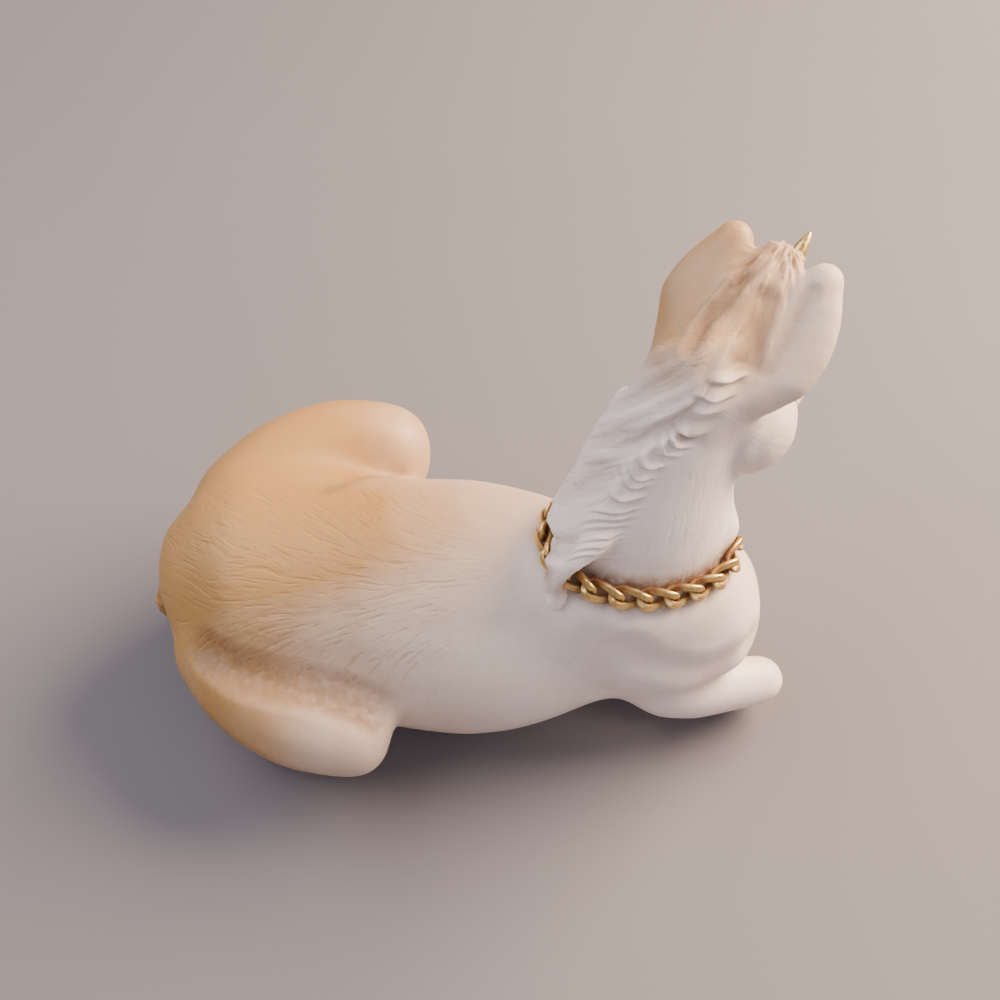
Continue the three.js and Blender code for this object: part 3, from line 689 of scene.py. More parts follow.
def distances(points, name, far):
    """How far each point is from a CAD node, up to a limit."""
    corners, triangles = node_mesh(name)
    tree = BVHTree.FromPolygons([Vector(p) for p in corners], triangles.tolist())
    close = ((points > corners.min(0) - far) & (points < corners.max(0) + far)).all(1)
    found = np.full(len(points), far)
    for i in np.flatnonzero(close):
        hit = tree.find_nearest(Vector(points[i]), far)
        if hit[3] is not None:
            found[i] = hit[3]
    return found


def without_crumbs(labels, faces, least):
    """Labels of faces, with patches of fewer faces than least given to their neighbours."""
    sides = np.sort(sides_of(faces), axis=1)
    key = sides[:, 0].astype(np.int64) * (faces.max() + 1) + sides[:, 1]
    order = np.argsort(key, kind="stable")
    face = np.tile(np.arange(len(faces)), faces.shape[1])[order]
    paired = np.flatnonzero(key[order][1:] == key[order][:-1])
    a, b = face[paired], face[paired + 1]
    for _ in range(PATCH_ROUNDS):
        same = labels[a] == labels[b]
        patch = np.arange(len(faces))
        while True:
            lowest = patch.copy()
            np.minimum.at(lowest, a[same], patch[b[same]])
            np.minimum.at(lowest, b[same], patch[a[same]])
            lowest = lowest[lowest]
            if (lowest == patch).all():
                break
            patch = lowest
        small = np.bincount(patch, minlength=len(faces))[patch] < least
        if not small.any():
            break
        for here, there in ((a, b), (b, a)):
            edge = small[here] & ~small[there] & ~same
            labels[here[edge]] = labels[there[edge]]
    return labels


def caps_of(faces, points, normals):
    """Faces that close the rims of a patch from within, and the points that they add."""
    sides = [tuple(side) for side in sides_of(faces).tolist()]
    known = set(sides)
    rim = {}
    for a, b in sides:
        if (b, a) not in known:
            rim.setdefault(a, []).append(b)
    closing, added = [], []
    while rim:
        loop = [next(iter(rim))]
        while loop[-1] in rim:
            onward = rim[loop[-1]]
            following = onward.pop()
            if not onward:
                del rim[loop[-1]]
            loop.append(following)
        ring = loop[:-1]
        first = len(points) + sum(len(part) for part in added)
        inner = points[ring] - CAP_DEPTH * normals[ring]
        added += [inner, inner.mean(0, keepdims=True)]
        for i, a in enumerate(ring):
            n = (i + 1) % len(ring)
            closing.append((ring[n], a, first + i, first + n))
            closing.append((first + n, first + i, first + len(ring)))
    return closing, np.concatenate(added) if added else np.empty((0, 3))


# Directions and patterns over the surfaces


def ramp(values, low, high):
    """0 at low, 1 at high, smooth between and flat beyond."""
    share = np.clip((values - low) / (high - low), 0, 1)
    return share * share * (3 - 2 * share)


def bell(values, width):
    """1 where the values are 0, falling off smoothly to both sides."""
    return np.exp(-((values / width) ** 2))


def unit(vectors):
    """Vectors with the length 1."""
    return vectors / np.maximum(np.linalg.norm(vectors, axis=1, keepdims=True), TINY)


def away_from(points, place):
    """How far each point is from a place."""
    return np.linalg.norm(points - np.array(place), axis=1)


def round_turns(count):
    """Angles at equal steps round a circle."""
    return np.arange(count) / count * 2 * math.pi


def cloud(points, seed):
    """Smooth noise around 0 at points in space, with a grain of 1."""
    table = np.random.default_rng(seed).standard_normal(NOISE_CELLS**3)
    low = np.floor(points).astype(np.int64)
    share = points - low
    share = share * share * (3 - 2 * share)
    total = np.zeros(len(points))
    for corner in range(8):
        high = np.array([corner >> axis & 1 for axis in range(3)])
        weight = np.where(high, share, 1 - share).prod(1)
        x, y, z = ((low + high) % NOISE_CELLS).T
        total += weight * table[(x * NOISE_CELLS + y) * NOISE_CELLS + z]
    return total


def waves(points, grain, seed):
    """Noise for each of the three directions, as vectors."""
    return np.stack([cloud(points / grain, seed + axis) for axis in range(3)], 1)


def evened(field):
    """Noise with a spread of 1 and without its extremes."""
    return np.clip(field / field.std(), -NOISE_LIMIT, NOISE_LIMIT)


def combed(points, flow, reach, width, seed):
    """Noise drawn out along the flow into strands of a length and a width, with a spread of 1."""
    steps = np.linspace(-0.5, 0.5, math.ceil(SAMPLES_PER_WIDTH * reach / width) + 1)
    total = sum(cloud((points + reach * step * flow) / width, seed) for step in steps)
    return total / total.std()


def head_axes():
    """The head's own directions: to the muzzle, to its left and out of the forehead."""
    ahead = np.array([math.cos(HEAD_TURN), math.sin(HEAD_TURN), 0.0])
    up = np.array([0.0, 0.0, 1.0])
    along = ahead * math.cos(HEAD_FALL) - up * math.sin(HEAD_FALL)
    out = ahead * math.sin(HEAD_FALL) + up * math.cos(HEAD_FALL)
    return np.stack([along, np.cross(out, along), out])


def in_head(points):
    """Points in the head's own frame."""
    return (points - POLL) @ head_axes().T


def from_head(point):
    """A point of the head's own frame in the shared frame."""
    return np.asarray(point, float) @ head_axes() + POLL


def round_neck(points):
    """Height, turn from the crest to the left and distance from the middle of the neck."""
    height = points[:, 2]
    dx = points[:, 0] - np.interp(height, NECK_HEIGHTS, NECK_X)
    dy = points[:, 1] - np.interp(height, NECK_HEIGHTS, NECK_Y)
    crest = np.interp(height, NECK_HEIGHTS, CREST_TURNS)
    turn = (crest - np.arctan2(dy, dx) + math.pi) % (2 * math.pi) - math.pi
    return height, turn, np.hypot(dx, dy)


def dense_line(line):
    """Many points along a line, the length up to each and the direction at each."""
    line = np.asarray(line, float)
    steps = np.linspace(0, len(line) - 1, LINE_POINTS)
    dense = np.stack([np.interp(steps, np.arange(len(line)), column) for column in line.T], 1)
    length = np.concatenate([[0], np.cumsum(np.linalg.norm(np.diff(dense, axis=0), axis=1))])
    ahead = np.gradient(dense, axis=0)
    for _ in range(LINE_ROUNDS):
        ahead[1:-1] = (ahead[:-2] + ahead[1:-1] + ahead[2:]) / 3
    return dense, length, ahead / np.linalg.norm(ahead, axis=1, keepdims=True)


def nearest_on(points, dense):
    """For each point, the number of the nearest point of a dense line and the distance to it."""
    near, gap = np.empty(len(points), int), np.empty(len(points))
    for start in range(0, len(points), BATCH):
        part = slice(start, start + BATCH)
        squares = ((points[part, None, :] - dense[None]) ** 2).sum(2)
        near[part] = squares.argmin(1)
        gap[part] = np.sqrt(squares.min(1))
    return near, gap


def near_line(points, line, width):
    """1 on a line, falling off to 0 at a distance."""
    dense = dense_line(line)[0]
    low, high = dense.min(0) - width, dense.max(0) + width
    close = np.flatnonzero(((points > low) & (points < high)).all(1))
    mark = np.zeros(len(points))
    if len(close):
        mark[close] = 1 - ramp(nearest_on(points[close], dense)[1], 0, width)
    return mark


def creases(points, table):
    """How deep the creases are at the points, from rows of line, width and depth."""
    return sum(depth * near_line(points, line, width) for line, width, depth in table)


def swellings(points, table):
    """How high the swellings are at the points, from rows of middle, width and height."""
    return sum(height * bell(away_from(points, middle), width) for middle, width, height in table)


def ridges(gap, table):
    """Height of ridges and grooves at a gap from something, from rows of gap, width and height."""
    return sum(height * bell(gap - at, width) for at, width, height in table)


def off_axis(points):
    """How far to the left of the coat's middle line the points lie."""
    return points[:, 1] - np.interp(points[:, 0], *COAT_AXIS)


def coat_flow(points):
    """The way the coat lies: back along the spine, turning outwards and down at the sides."""
    turn = np.arctan2(off_axis(points), points[:, 2] - SPINE_HEIGHT)
    lean = math.pi / 2 * np.tanh(turn * SPINE_HEIGHT / COAT_SPREAD)
    side = np.sin(lean)
    return np.stack([-np.cos(lean), side * np.cos(turn), -side * np.sin(turn)], 1)


def tail_flow(points):
    """The way the strands of the tail lie."""
    dense, _, ahead = dense_line(TAIL_LINE)
    return ahead[nearest_on(points, dense)[0]]


def upper_flow(points, part):
    """The way neck, head, mane, forelock and ears are combed."""
    along, _, out = head_axes()
    angle = np.interp(points[:, 2], NECK_HEIGHTS, CREST_TURNS) - round_neck(points)[1]
    level = np.stack([np.sin(angle), -np.cos(angle), np.zeros(len(points))], 1)
    flow = part["mane"][:, None] * (MANE_FALL[0] * level - MANE_FALL[1] * np.array([0.0, 0.0, 1.0]))
    flow += part["forelock"][:, None] * unit(points - from_head(FORELOCK_TIP))
    plain = {"neck": NECK_FALL, "head": -along, "ear_left": -out, "ear_right": -out}
    return flow + sum(part[name][:, None] * np.asarray(way) for name, way in plain.items())


def combed_way(flow, points, normals, seed):
    """A flow laid on the surface, with a little waviness, as unit vectors."""
    wavy = unit(flow) + WAVINESS * waves(points, WAVE_GRAIN, seed)
    return unit(wavy - normals * (wavy * normals).sum(1)[:, None])


def parting_frame(points, normals):
    """Each point's place along the parting, its distance to the left of it and its distance from it."""
    dense, length, ahead = dense_line(PARTING)
    near, gap = nearest_on(points, dense)
    onward = ahead[near]
    away = points - dense[near]
    off = (away * np.cross(normals, onward)).sum(1)
    return length[near] + (away * onward).sum(1), off, gap


def mane_folds(points, length, width, seed):
    """Noise drawn out along the locks, which fall from the parting round to the left."""
    height, turn, reach = round_neck(points)
    arc = turn * MANE_RADIUS
    along = MANE_FALL[0] * arc - MANE_FALL[1] * height
    across = MANE_FALL[1] * arc + MANE_FALL[0] * height
    return evened(cloud(np.stack([along / length, across / width, reach / MANE_DEPTH_GRAIN], 1), seed))


def forelock_strands(points, fan, seed):
    """Noise drawn out along the strands of the forelock, which run together at its tip."""
    away = points - from_head(FORELOCK_TIP)
    wave = FORELOCK_WAVINESS * waves(points, FORELOCK_WAVE_GRAIN, seed)
    drawn = np.linalg.norm(away, axis=1)[:, None] / FORELOCK_DRAW
    return evened(cloud(unit(away) * fan + wave + drawn, seed))


def curl_relief(place, off, gap):
    """Relief of the row of curls along the parting, large at the poll and fine at the withers."""
    length = dense_line(PARTING)[1]
    rise = np.clip(place / length[-1], 0, 1)
    pitches = CURL_PITCH + CURL_PITCH_GAIN * length / length[-1]
    count = np.concatenate([[0], np.cumsum(np.diff(length) * 2 / (pitches[1:] + pitches[:-1]))])
    count = count + sum(size * np.sin(rate * count + start) for size, rate, start in CURL_DRIFTS)
    slope = np.interp(rise, CURL_RISES, CURL_SLOPES)
    # Close to 0 on the neck's side of the parting and to off on the mane's side
    soft = 0.5 * (off + np.sqrt(off * off + 1.0))
    turns = np.interp(place - slope * soft + CURL_LEAN * (off - soft), length, count)
    phase = turns % 1.0
    ridge = ramp(phase, 0.0, CURL_FRONT) * (1 - phase) ** CURL_TAPER - CURL_SINK
    sizes = np.random.default_rng(CURL_SEED).uniform(*CURL_SIZES, CURL_KINDS)
    ridge *= sizes[np.floor(turns).astype(int) % CURL_KINDS]
    reach = CURL_REACH - CURL_REACH_LOSS * ramp(rise, *CURL_REACH_RISES)
    fade = ramp(off, -reach, CURL_TIP) * ramp(-off, *CURL_ROOT)
    fade *= ramp(-gap, -reach - CURL_REACH_FADE, -reach)
    fade *= ramp(place, *CURL_START) * ramp(length[-1] - place, *CURL_END)
    return ridge * fade * (CURL_LEAST + (1 - CURL_LEAST) * ramp(rise, 0.0, CURL_FULL_RISE))


def face_relief(points):
    """Lids, brows, nostrils, mouth and cheeks of a plain horse's face, as heights."""
    x, y, z = in_head(points).T
    side = np.abs(y)
    dx, dz = x - EYE_AT[0], z - EYE_AT[2]
    almond = np.hypot(dx / EYE_HALF[0], (dz + EYE_SLANT * dx) / EYE_HALF[1])
    brow = BROW_HEIGHT * bell(dz - BROW_RISE + BROW_BEND * dx * dx, BROW_WIDTH)
    brow *= ramp(-np.abs(dx), *BROW_ENDS)
    height = ramp(side, *EYE_SIDE) * (ridges(almond, EYE_RIDGES) + brow)
    nx, nz = x - NOSTRIL_AT[0], z - NOSTRIL_AT[2]
    comma = np.hypot(nx / NOSTRIL_HALF[0], (nz + NOSTRIL_SLANT * nx) / NOSTRIL_HALF[1])
    height += ramp(side, *NOSTRIL_SIDE) * ridges(comma, NOSTRIL_RIDGES)
    lips = np.abs(z - np.interp(x, *np.array(MOUTH).T))
    height += ramp(x, *MOUTH_CORNER) * ridges(lips, MOUTH_RIDGES)
    cheek = np.hypot((x - CHEEK_AT[0]) / CHEEK_HALF[0], (z - CHEEK_AT[2]) / CHEEK_HALF[1])
    return height + ramp(side, *CHEEK_SIDE) * ridges(cheek, CHEEK_RIDGES)


def hollows(points, faces, edges, gain):
    """How deep each point lies in a hollow, from 0 to 1. The materials darken the hollows by it: painted
    shade with some wash.
    """
    level = eased(points, edges, HOLLOW_ROUNDS, 1.0)
    sunk = ((level - points) * normals_of(points, faces)).sum(1)
    return np.clip(gain * sunk, 0, 1)


def chain_ring():
    """Middles of the chain's links, in order round the neck."""
    return np.array([node_mesh(name)[0].mean(0) for name in LINKS])


# Node groups and materials


class Nodes:
    """Short calls for building a node tree."""

    def __init__(self, tree):
        self.tree = tree

    def put(self, socket, value):
        """Links a value's socket to a socket, or sets the socket to a plain value."""
        if isinstance(value, bpy.types.NodeSocket):
            self.tree.links.new(value, socket)
        else:
            socket.default_value = value

    def add(self, kind, inputs=None, **settings):
        """A new node with its settings and the values of its inputs."""
        node = self.tree.nodes.new(kind)
        for key, value in settings.items():
            setattr(node, key, value)
        for key, value in (inputs or {}).items():
            self.put(node.inputs[key], value)
        return node

    def maths(self, operation, a, b=0.0, clamp=False):
        """A calculation with two values."""
        return self.add("ShaderNodeMath", {0: a, 1: b}, operation=operation, use_clamp=clamp).outputs[0]

    def product(self, a, b):
        """Two values multiplied."""
        return self.maths("MULTIPLY", a, b)

    def vectors(self, operation, inputs):
        """A calculation with vectors."""
        return self.add("ShaderNodeVectorMath", inputs, operation=operation).outputs["Vector"]

    def ranged(self, value, low, high, to_low=0.0, to_high=1.0):
        """A value taken smoothly from one range to another."""
        inputs = {"Value": value, "From Min": low, "From Max": high, "To Min": to_low, "To Max": to_high}
        return self.add("ShaderNodeMapRange", inputs, interpolation_type="SMOOTHSTEP").outputs["Result"]

    def mix(self, factor, a, b):
        """Two colours mixed."""
        node = self.add("ShaderNodeMix", data_type="RGBA")
        for key, value in (("Factor", factor), ("A", a), ("B", b)):
            self.put(next(s for s in node.inputs if s.name == key and s.enabled), value)
        return next(s for s in node.outputs if s.enabled)

    def noise(self, vector, scale, detail=3.0, roughness=0.55):
        """Smooth noise over a place."""
        inputs = {"Vector": vector, "Scale": scale, "Detail": detail, "Roughness": roughness}
        return self.add("ShaderNodeTexNoise", inputs).outputs["Fac"]

    def mark(self, name, output="Fac"):
        """A mark that a piece carries."""
        return self.add("ShaderNodeAttribute", attribute_name=name).outputs[output]

    def place(self):
        """The place on the piece, in metres."""
        return self.add("ShaderNodeTexCoord").outputs["Object"]


def node_group(name, inputs, outputs):
    """A new shader node group with its sockets: its nodes, its inputs and its output node."""
    tree = bpy.data.node_groups.new(name, "ShaderNodeTree")
    for label, kind, default in inputs:
        socket = tree.interface.new_socket(label, in_out="INPUT", socket_type=kind)
        if default is not None:
            socket.default_value = default
    for label, kind in outputs:
        tree.interface.new_socket(label, in_out="OUTPUT", socket_type=kind)
    nodes = Nodes(tree)
    return nodes, nodes.add("NodeGroupInput").outputs, nodes.add("NodeGroupOutput")


def coat_strokes_group():
    """Fine strokes drawn out along the flow of the coat or hair: a height and a mask."""
    name = "Coat Strokes"
    if name in bpy.data.node_groups:
        return bpy.data.node_groups[name]
    nodes, given, result = node_group(
        name,
        [
            ("Place", "NodeSocketVector", None),
            ("Flow", "NodeSocketVector", None),
            ("Reach", "NodeSocketFloat", 0.002),
            ("Fineness", "NodeSocketFloat", 1000.0),
            ("Amount", "NodeSocketFloat", 1.0),
        ],
        [("Height", "NodeSocketFloat"), ("Stroke", "NodeSocketFloat")],
    )
    total = 0.0
    for step in np.linspace(-1.0, 1.0, STROKE_SAMPLES):
        scale = nodes.product(given["Reach"], float(step))
        shift = nodes.vectors("SCALE", {"Vector": given["Flow"], "Scale": scale})
        there = nodes.vectors("ADD", {0: given["Place"], 1: shift})
        total = nodes.maths("ADD", nodes.noise(there, given["Fineness"], 0.0), total)
    stroke = nodes.ranged(nodes.maths("DIVIDE", total, float(STROKE_SAMPLES)), *STROKE_EDGES)
    patch = nodes.ranged(nodes.noise(given["Place"], *STROKE_PATCH_NOISE), *STROKE_PATCHES)
    depth = nodes.product(nodes.product(stroke, patch), given["Amount"])
    nodes.put(result.inputs["Height"], nodes.maths("SUBTRACT", 1.0, depth))
    nodes.put(result.inputs["Stroke"], depth)
    return nodes.tree


def patina_group():
    """Colour and roughness of cast resin with a tan wash, painted shade with some grime in its hollows and
    creases, and fine flecks.
    """
    name = "Resin Patina"
    if name in bpy.data.node_groups:
        return bpy.data.node_groups[name]
    white = (1.0, 1.0, 1.0, 1.0)
    nodes, given, result = node_group(
        name,
        [
            ("Place", "NodeSocketVector", None),
            ("Ivory", "NodeSocketColor", white),
            ("Tan", "NodeSocketColor", white),
            ("Shade and Grime", "NodeSocketColor", white),
            ("Warmth", "NodeSocketFloat", 0.0),
            ("Hollow", "NodeSocketFloat", 0.0),
            ("Stain and Shade", "NodeSocketFloat", 0.0),
            ("Stroke", "NodeSocketFloat", 0.0),
        ],
        [("Color", "NodeSocketColor"), ("Roughness", "NodeSocketFloat")],
    )
    clouds = nodes.noise(given["Place"], *PATINA_CLOUDS)
    speck = nodes.noise(given["Place"], *PATINA_SPECKS)
    drift = nodes.ranged(clouds, *PATINA_DRIFT)
    warm = nodes.maths("ADD", given["Warmth"], drift, clamp=True)
    colour = nodes.mix(warm, given["Ivory"], given["Tan"])
    fleck = nodes.ranged(speck, *PATINA_FLECKS)
    colour = nodes.mix(fleck, colour, given["Tan"])
    colour = nodes.mix(nodes.product(given["Stroke"], STROKE_TINT), colour, given["Tan"])
    # Hollows darkened: painted shade with some wash
    soft = nodes.product(given["Hollow"], nodes.ranged(clouds, *PATINA_HOLLOWS))
    colour = nodes.mix(soft, colour, given["Shade and Grime"])
    # Creases, the band beside the chain and the near rump darkened: painted shade with some dirt and wash
    deep = nodes.product(given["Stain and Shade"], nodes.ranged(speck, *PATINA_STAIN_SHADE))
    colour = nodes.mix(deep, colour, given["Shade and Grime"])
    rough = nodes.ranged(nodes.maths("ADD", speck, given["Hollow"]), *PATINA_ROUGHNESS)
    nodes.put(result.inputs["Color"], colour)
    nodes.put(result.inputs["Roughness"], rough)
    return nodes.tree


def new_material(name):
    """A new material, its nodes and its shader."""
    material = bpy.data.materials.new(name)
    material.use_nodes = True
    return material, Nodes(material.node_tree), material.node_tree.nodes["Principled BSDF"]


def resin_material(name, stroke_reach):
    """Cast resin with carved strokes. Warmth and the darkening of hollows and creases, which is painted
    shade with some wash and stain, come from marks on the piece.
    """
    if name in bpy.data.materials:
        return bpy.data.materials[name]
    colours = bpy.context.scene.figurine_colours
    material, nodes, shader = new_material(name)
    place = nodes.place()
    inputs = {
        "Place": place,
        "Flow": nodes.mark("flow", "Vector"),
        "Reach": stroke_reach,
        "Fineness": STROKE_SCALE,
        "Amount": nodes.mark("coat"),
    }
    carved = nodes.add("ShaderNodeGroup", node_tree=coat_strokes_group())
    for label, value in inputs.items():
        nodes.put(carved.inputs[label], value)
    inputs = {
        "Place": place,
        "Ivory": (*colours.ivory, 1.0),
        "Tan": (*colours.tan, 1.0),
        "Shade and Grime": (*colours.shade_and_grime, 1.0),
        "Warmth": nodes.mark("warmth"),
        "Hollow": nodes.mark("hollow"),
        "Stain and Shade": nodes.mark("stain_and_shade"),
        "Stroke": carved.outputs["Stroke"],
    }
    patina = nodes.add("ShaderNodeGroup", node_tree=patina_group())
    for label, value in inputs.items():
        nodes.put(patina.inputs[label], value)
    grain = nodes.product(nodes.noise(place, RESIN_GRAIN_SCALE), RESIN_GRAIN)
    height = nodes.maths("ADD", carved.outputs["Height"], grain)
    inputs = {"Height": height, "Strength": STROKE_BUMP, "Distance": RESIN_BUMP_DEPTH}
    bump = nodes.add("ShaderNodeBump", inputs)
    nodes.put(shader.inputs["Base Color"], patina.outputs["Color"])
    nodes.put(shader.inputs["Roughness"], patina.outputs["Roughness"])
    nodes.put(shader.inputs["Normal"], bump.outputs["Normal"])
    shader.inputs["Specular IOR Level"].default_value = RESIN_SHINE
    return material


def gilt_material(name, dark, roughness):
    """Gold with a dark wash in its hollows, which on the chain is also painted shade, and fine rubbed marks.
    """
    if name in bpy.data.materials:
        return bpy.data.materials[name]
    gilt = bpy.context.scene.figurine_colours.gilt
    material, nodes, shader = new_material(name)
    place = nodes.place()
    clouds = nodes.noise(place, *GILT_CLOUDS)
    rubbed = nodes.noise(place, *GILT_RUBBING)
    # On the chain this darkening is painted shade with some dark wash; on the horn it is a dark wash in the
    # grooves
    wash_and_shade = nodes.product(nodes.mark("hollow"), nodes.ranged(clouds, *GILT_WASH_AND_SHADE))
    pale = nodes.mix(nodes.ranged(rubbed, *GILT_PALENESS), (*gilt, 1.0), (*RUBBED_GOLD, 1.0))
    nodes.put(shader.inputs["Base Color"], nodes.mix(wash_and_shade, pale, (*dark, 1.0)))
    metal = nodes.maths("SUBTRACT", 1.0, nodes.product(wash_and_shade, WASH_AND_SHADE_COVER))
    nodes.put(shader.inputs["Metallic"], metal)
    worn = nodes.maths("ADD", nodes.product(wash_and_shade, WASH_AND_SHADE_DULLNESS), nodes.ranged(rubbed, *GILT_WEAR))
    nodes.put(shader.inputs["Roughness"], nodes.maths("ADD", worn, roughness))
    inputs = {"Height": rubbed, "Strength": GILT_BUMP, "Distance": GILT_BUMP_DEPTH}
    bump = nodes.add("ShaderNodeBump", inputs)
    nodes.put(shader.inputs["Normal"], bump.outputs["Normal"])
    return material


def paper_material():
    """Plain paper for the stage, with a faint cloudiness."""
    material, nodes, shader = new_material("stage_paper")
    floor = bpy.context.scene.figurine_colours.floor
    shade = nodes.ranged(nodes.noise(nodes.place(), PAPER_CLOUD_SCALE), *PAPER_CLOUDS)
    darker = tuple(c * PAPER_SHADE for c in floor)
    nodes.put(shader.inputs["Base Color"], nodes.mix(shade, (*darker, 1.0), (*floor, 1.0)))
    shader.inputs["Roughness"].default_value = PAPER_ROUGHNESS
    return material


# Makers of the pieces


def with_marks(made, marks):
    """Stores values for the points of a piece, for its material to read."""
    for name, values in marks.items():
        kind, field = ("FLOAT_VECTOR", "vector") if values.ndim == 2 else ("FLOAT", "value")
        whole = np.zeros((len(made.data.vertices), *values.shape[1:]), np.float32)
        whole[: len(values)] = values
        made.data.attributes.new(name, kind, "POINT").data.foreach_set(field, whole.ravel())


def settle(made, slot, material, *nodes):
    """Puts a piece in the place of its CAD nodes."""
    made.data.materials.clear()
    made.data.materials.append(material)
    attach(made, "root")
    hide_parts(*nodes)


def trimmed(points, faces, kept):
    """The faces whose corners are all kept, with the points that they use. Also the numbers of these."""
    chosen = faces[kept[faces].all(1)]
    used, back = np.unique(chosen, return_inverse=True)
    return points[used], back.reshape(chosen.shape), used


def skin_of(castings, filler, grain):
    """A blended skin: points, faces, edges, the casting of each face and, for each casting, how much
    each point belongs to it. The last value is 1 along the seams between castings."""
    points, faces = blended(castings, grain, SWELL)
    gaps = np.stack([distances(points, name, REACH) for name in castings], 1)
    others = [i for i, name in enumerate(castings) if name != filler]
    points, faces, used = trimmed(points, faces, gaps[:, others].min(1) < REACH)
    edges = edges_of(faces)
    gaps = eased(gaps[used], edges, GAP_ROUNDS, 1.0)
    owner = without_crumbs(gaps[faces].mean(1).argmin(1), faces, SMALLEST_PATCH)
    ordered = np.sort(gaps, 1)
    seam = 1 - ramp(ordered[:, 1] - ordered[:, 0], *SEAM_GAPS)
    share = np.exp(-SHARE_FALL * (gaps - ordered[:, :1]))
    share /= share.sum(1, keepdims=True)
    return eased(points, edges, FIRST_ROUNDS), faces, edges, owner, dict(zip(castings, share.T)), seam


def refined(points, faces, edges, owner, part, gain):
    """A skin with each face split in four: points, quads, the casting of each and the marks."""
    marks = {"hollow": hollows(points, faces, edges, gain), **part}
    points, quads, marks = shaped(points, faces, "SUBSURF", marks, levels=1)
    return points, quads, np.repeat(owner, 4), marks


def part_skin(points, quads, owner, castings, filler, marks):
    """Parts a finished skin into a closed piece for each casting."""
    normals = normals_of(points, quads)
    for i, name in enumerate(castings):
        if name == filler:
            continue
        used, back = np.unique(quads[owner == i], return_inverse=True)
        own = back.reshape(-1, 4)
        closing, added = caps_of(own, points[used], normals[used])
        whole = np.concatenate([points[used], added])
        turned = np.concatenate([normals[used], np.zeros_like(added)])
        made = mesh_object(f"{name}_skin", whole, own.tolist() + closing, turned)
        with_marks(made, {key: values[used] for key, values in marks.items()})
        if name in HAIR:
            material = resin_material("resin_hair", HAIR_STROKE_REACH)
        else:
            material = resin_material("resin_body", STROKE_REACH)
        settle(made, "ivory_resin", material, name)


def shade_and_stains(points):
    """Painted shade beside the chain and in the deepest grooves, with some brown wash and dirt."""
    ring = chain_ring()
    wash_and_shade = near_line(points, [*ring, ring[0]], CHAIN_SHADE_WIDTH)
    amount = CHAIN_SHADE * np.minimum(1, CHAIN_SHADE_GAIN * wash_and_shade)
    for line, width, most in SHADE_LINES:
        amount = np.maximum(amount, most * near_line(points, line, width))
    return amount


def body_skin(grain):
    """The skin of torso, legs and tail: points, quads, the casting of each and the marks."""
    points, faces, edges, owner, part, seam = skin_of(LOWER_CASTINGS, LOWER_FILLER, grain)
    rear = ramp(-points[:, 0], *FAR_SEAM_BACK) * ramp(points[:, 1], *FAR_SEAM_LEFT)
    points = filled(points, faces, edges, FILL_ROUNDS, seam * (NEAR_SEAM_FILL + (1 - NEAR_SEAM_FILL) * rear))
    legs = sum(part[name] for name in CORONETS)
    crisp = np.maximum(legs * (1 - ramp(points[:, 2], *CRISP_HEIGHTS)), part["tail"])
    points = eased(points, edges, BODY_ROUNDS, BODY_SOFTNESS - BODY_CRISPNESS * crisp)
    return refined(points, faces, edges, owner, part, BODY_HOLLOW_GAIN)


def coat_share(points):
    """How much of the coat's strokes each point of the body has."""
    away = off_axis(points)
    back = (1 - ramp(away, *COAT_FAR)) * (1 - ramp(-away, *COAT_NEAR)) * ramp(-points[:, 0], *COAT_BACK)
    return (COAT_LEAST + (1 - COAT_LEAST) * back) * ramp(points[:, 2], *COAT_HEIGHTS)


def tail_relief(points, flow):
    """Strands along the tail, with finer hairs on them."""
    strands = combed(points, flow, *TAIL_STRANDS) + TAIL_HAIR_SHARE * combed(points, flow, *TAIL_HAIRS)
    return TAIL_RELIEF * np.clip(strands, -NOISE_LIMIT, NOISE_LIMIT)


def coronet_relief(points, part):
    """A band above each hoof and the groove under it."""
    low = 1 - ramp(points[:, 2], *CORONET_HEIGHTS)
    bands = ((part[name], (points[:, 0] - at) * sense) for name, (at, sense) in CORONETS.items())
    return sum(leg * low * ridges(ahead, CORONET_RIDGES) for leg, ahead in bands)


def body_warmth(points, away):
    """The tan of the body: full at the rump, more of it on the far side of the back."""
    knee = ramp(-points[:, 1], *KNEE_RIGHT) * ramp(points[:, 0], *KNEE_X)
    warmth = np.interp(points[:, 0], WARMTH_X, WARMTH_LEVELS) * (1 - KNEE_PALENESS * knee)
    far = ramp(away, *FAR_WARMTH_EDGE) * (1 - FAR_WARMTH_LOSS * ramp(away, *COAT_FAR))
    return warmth + FAR_WARMTH * far


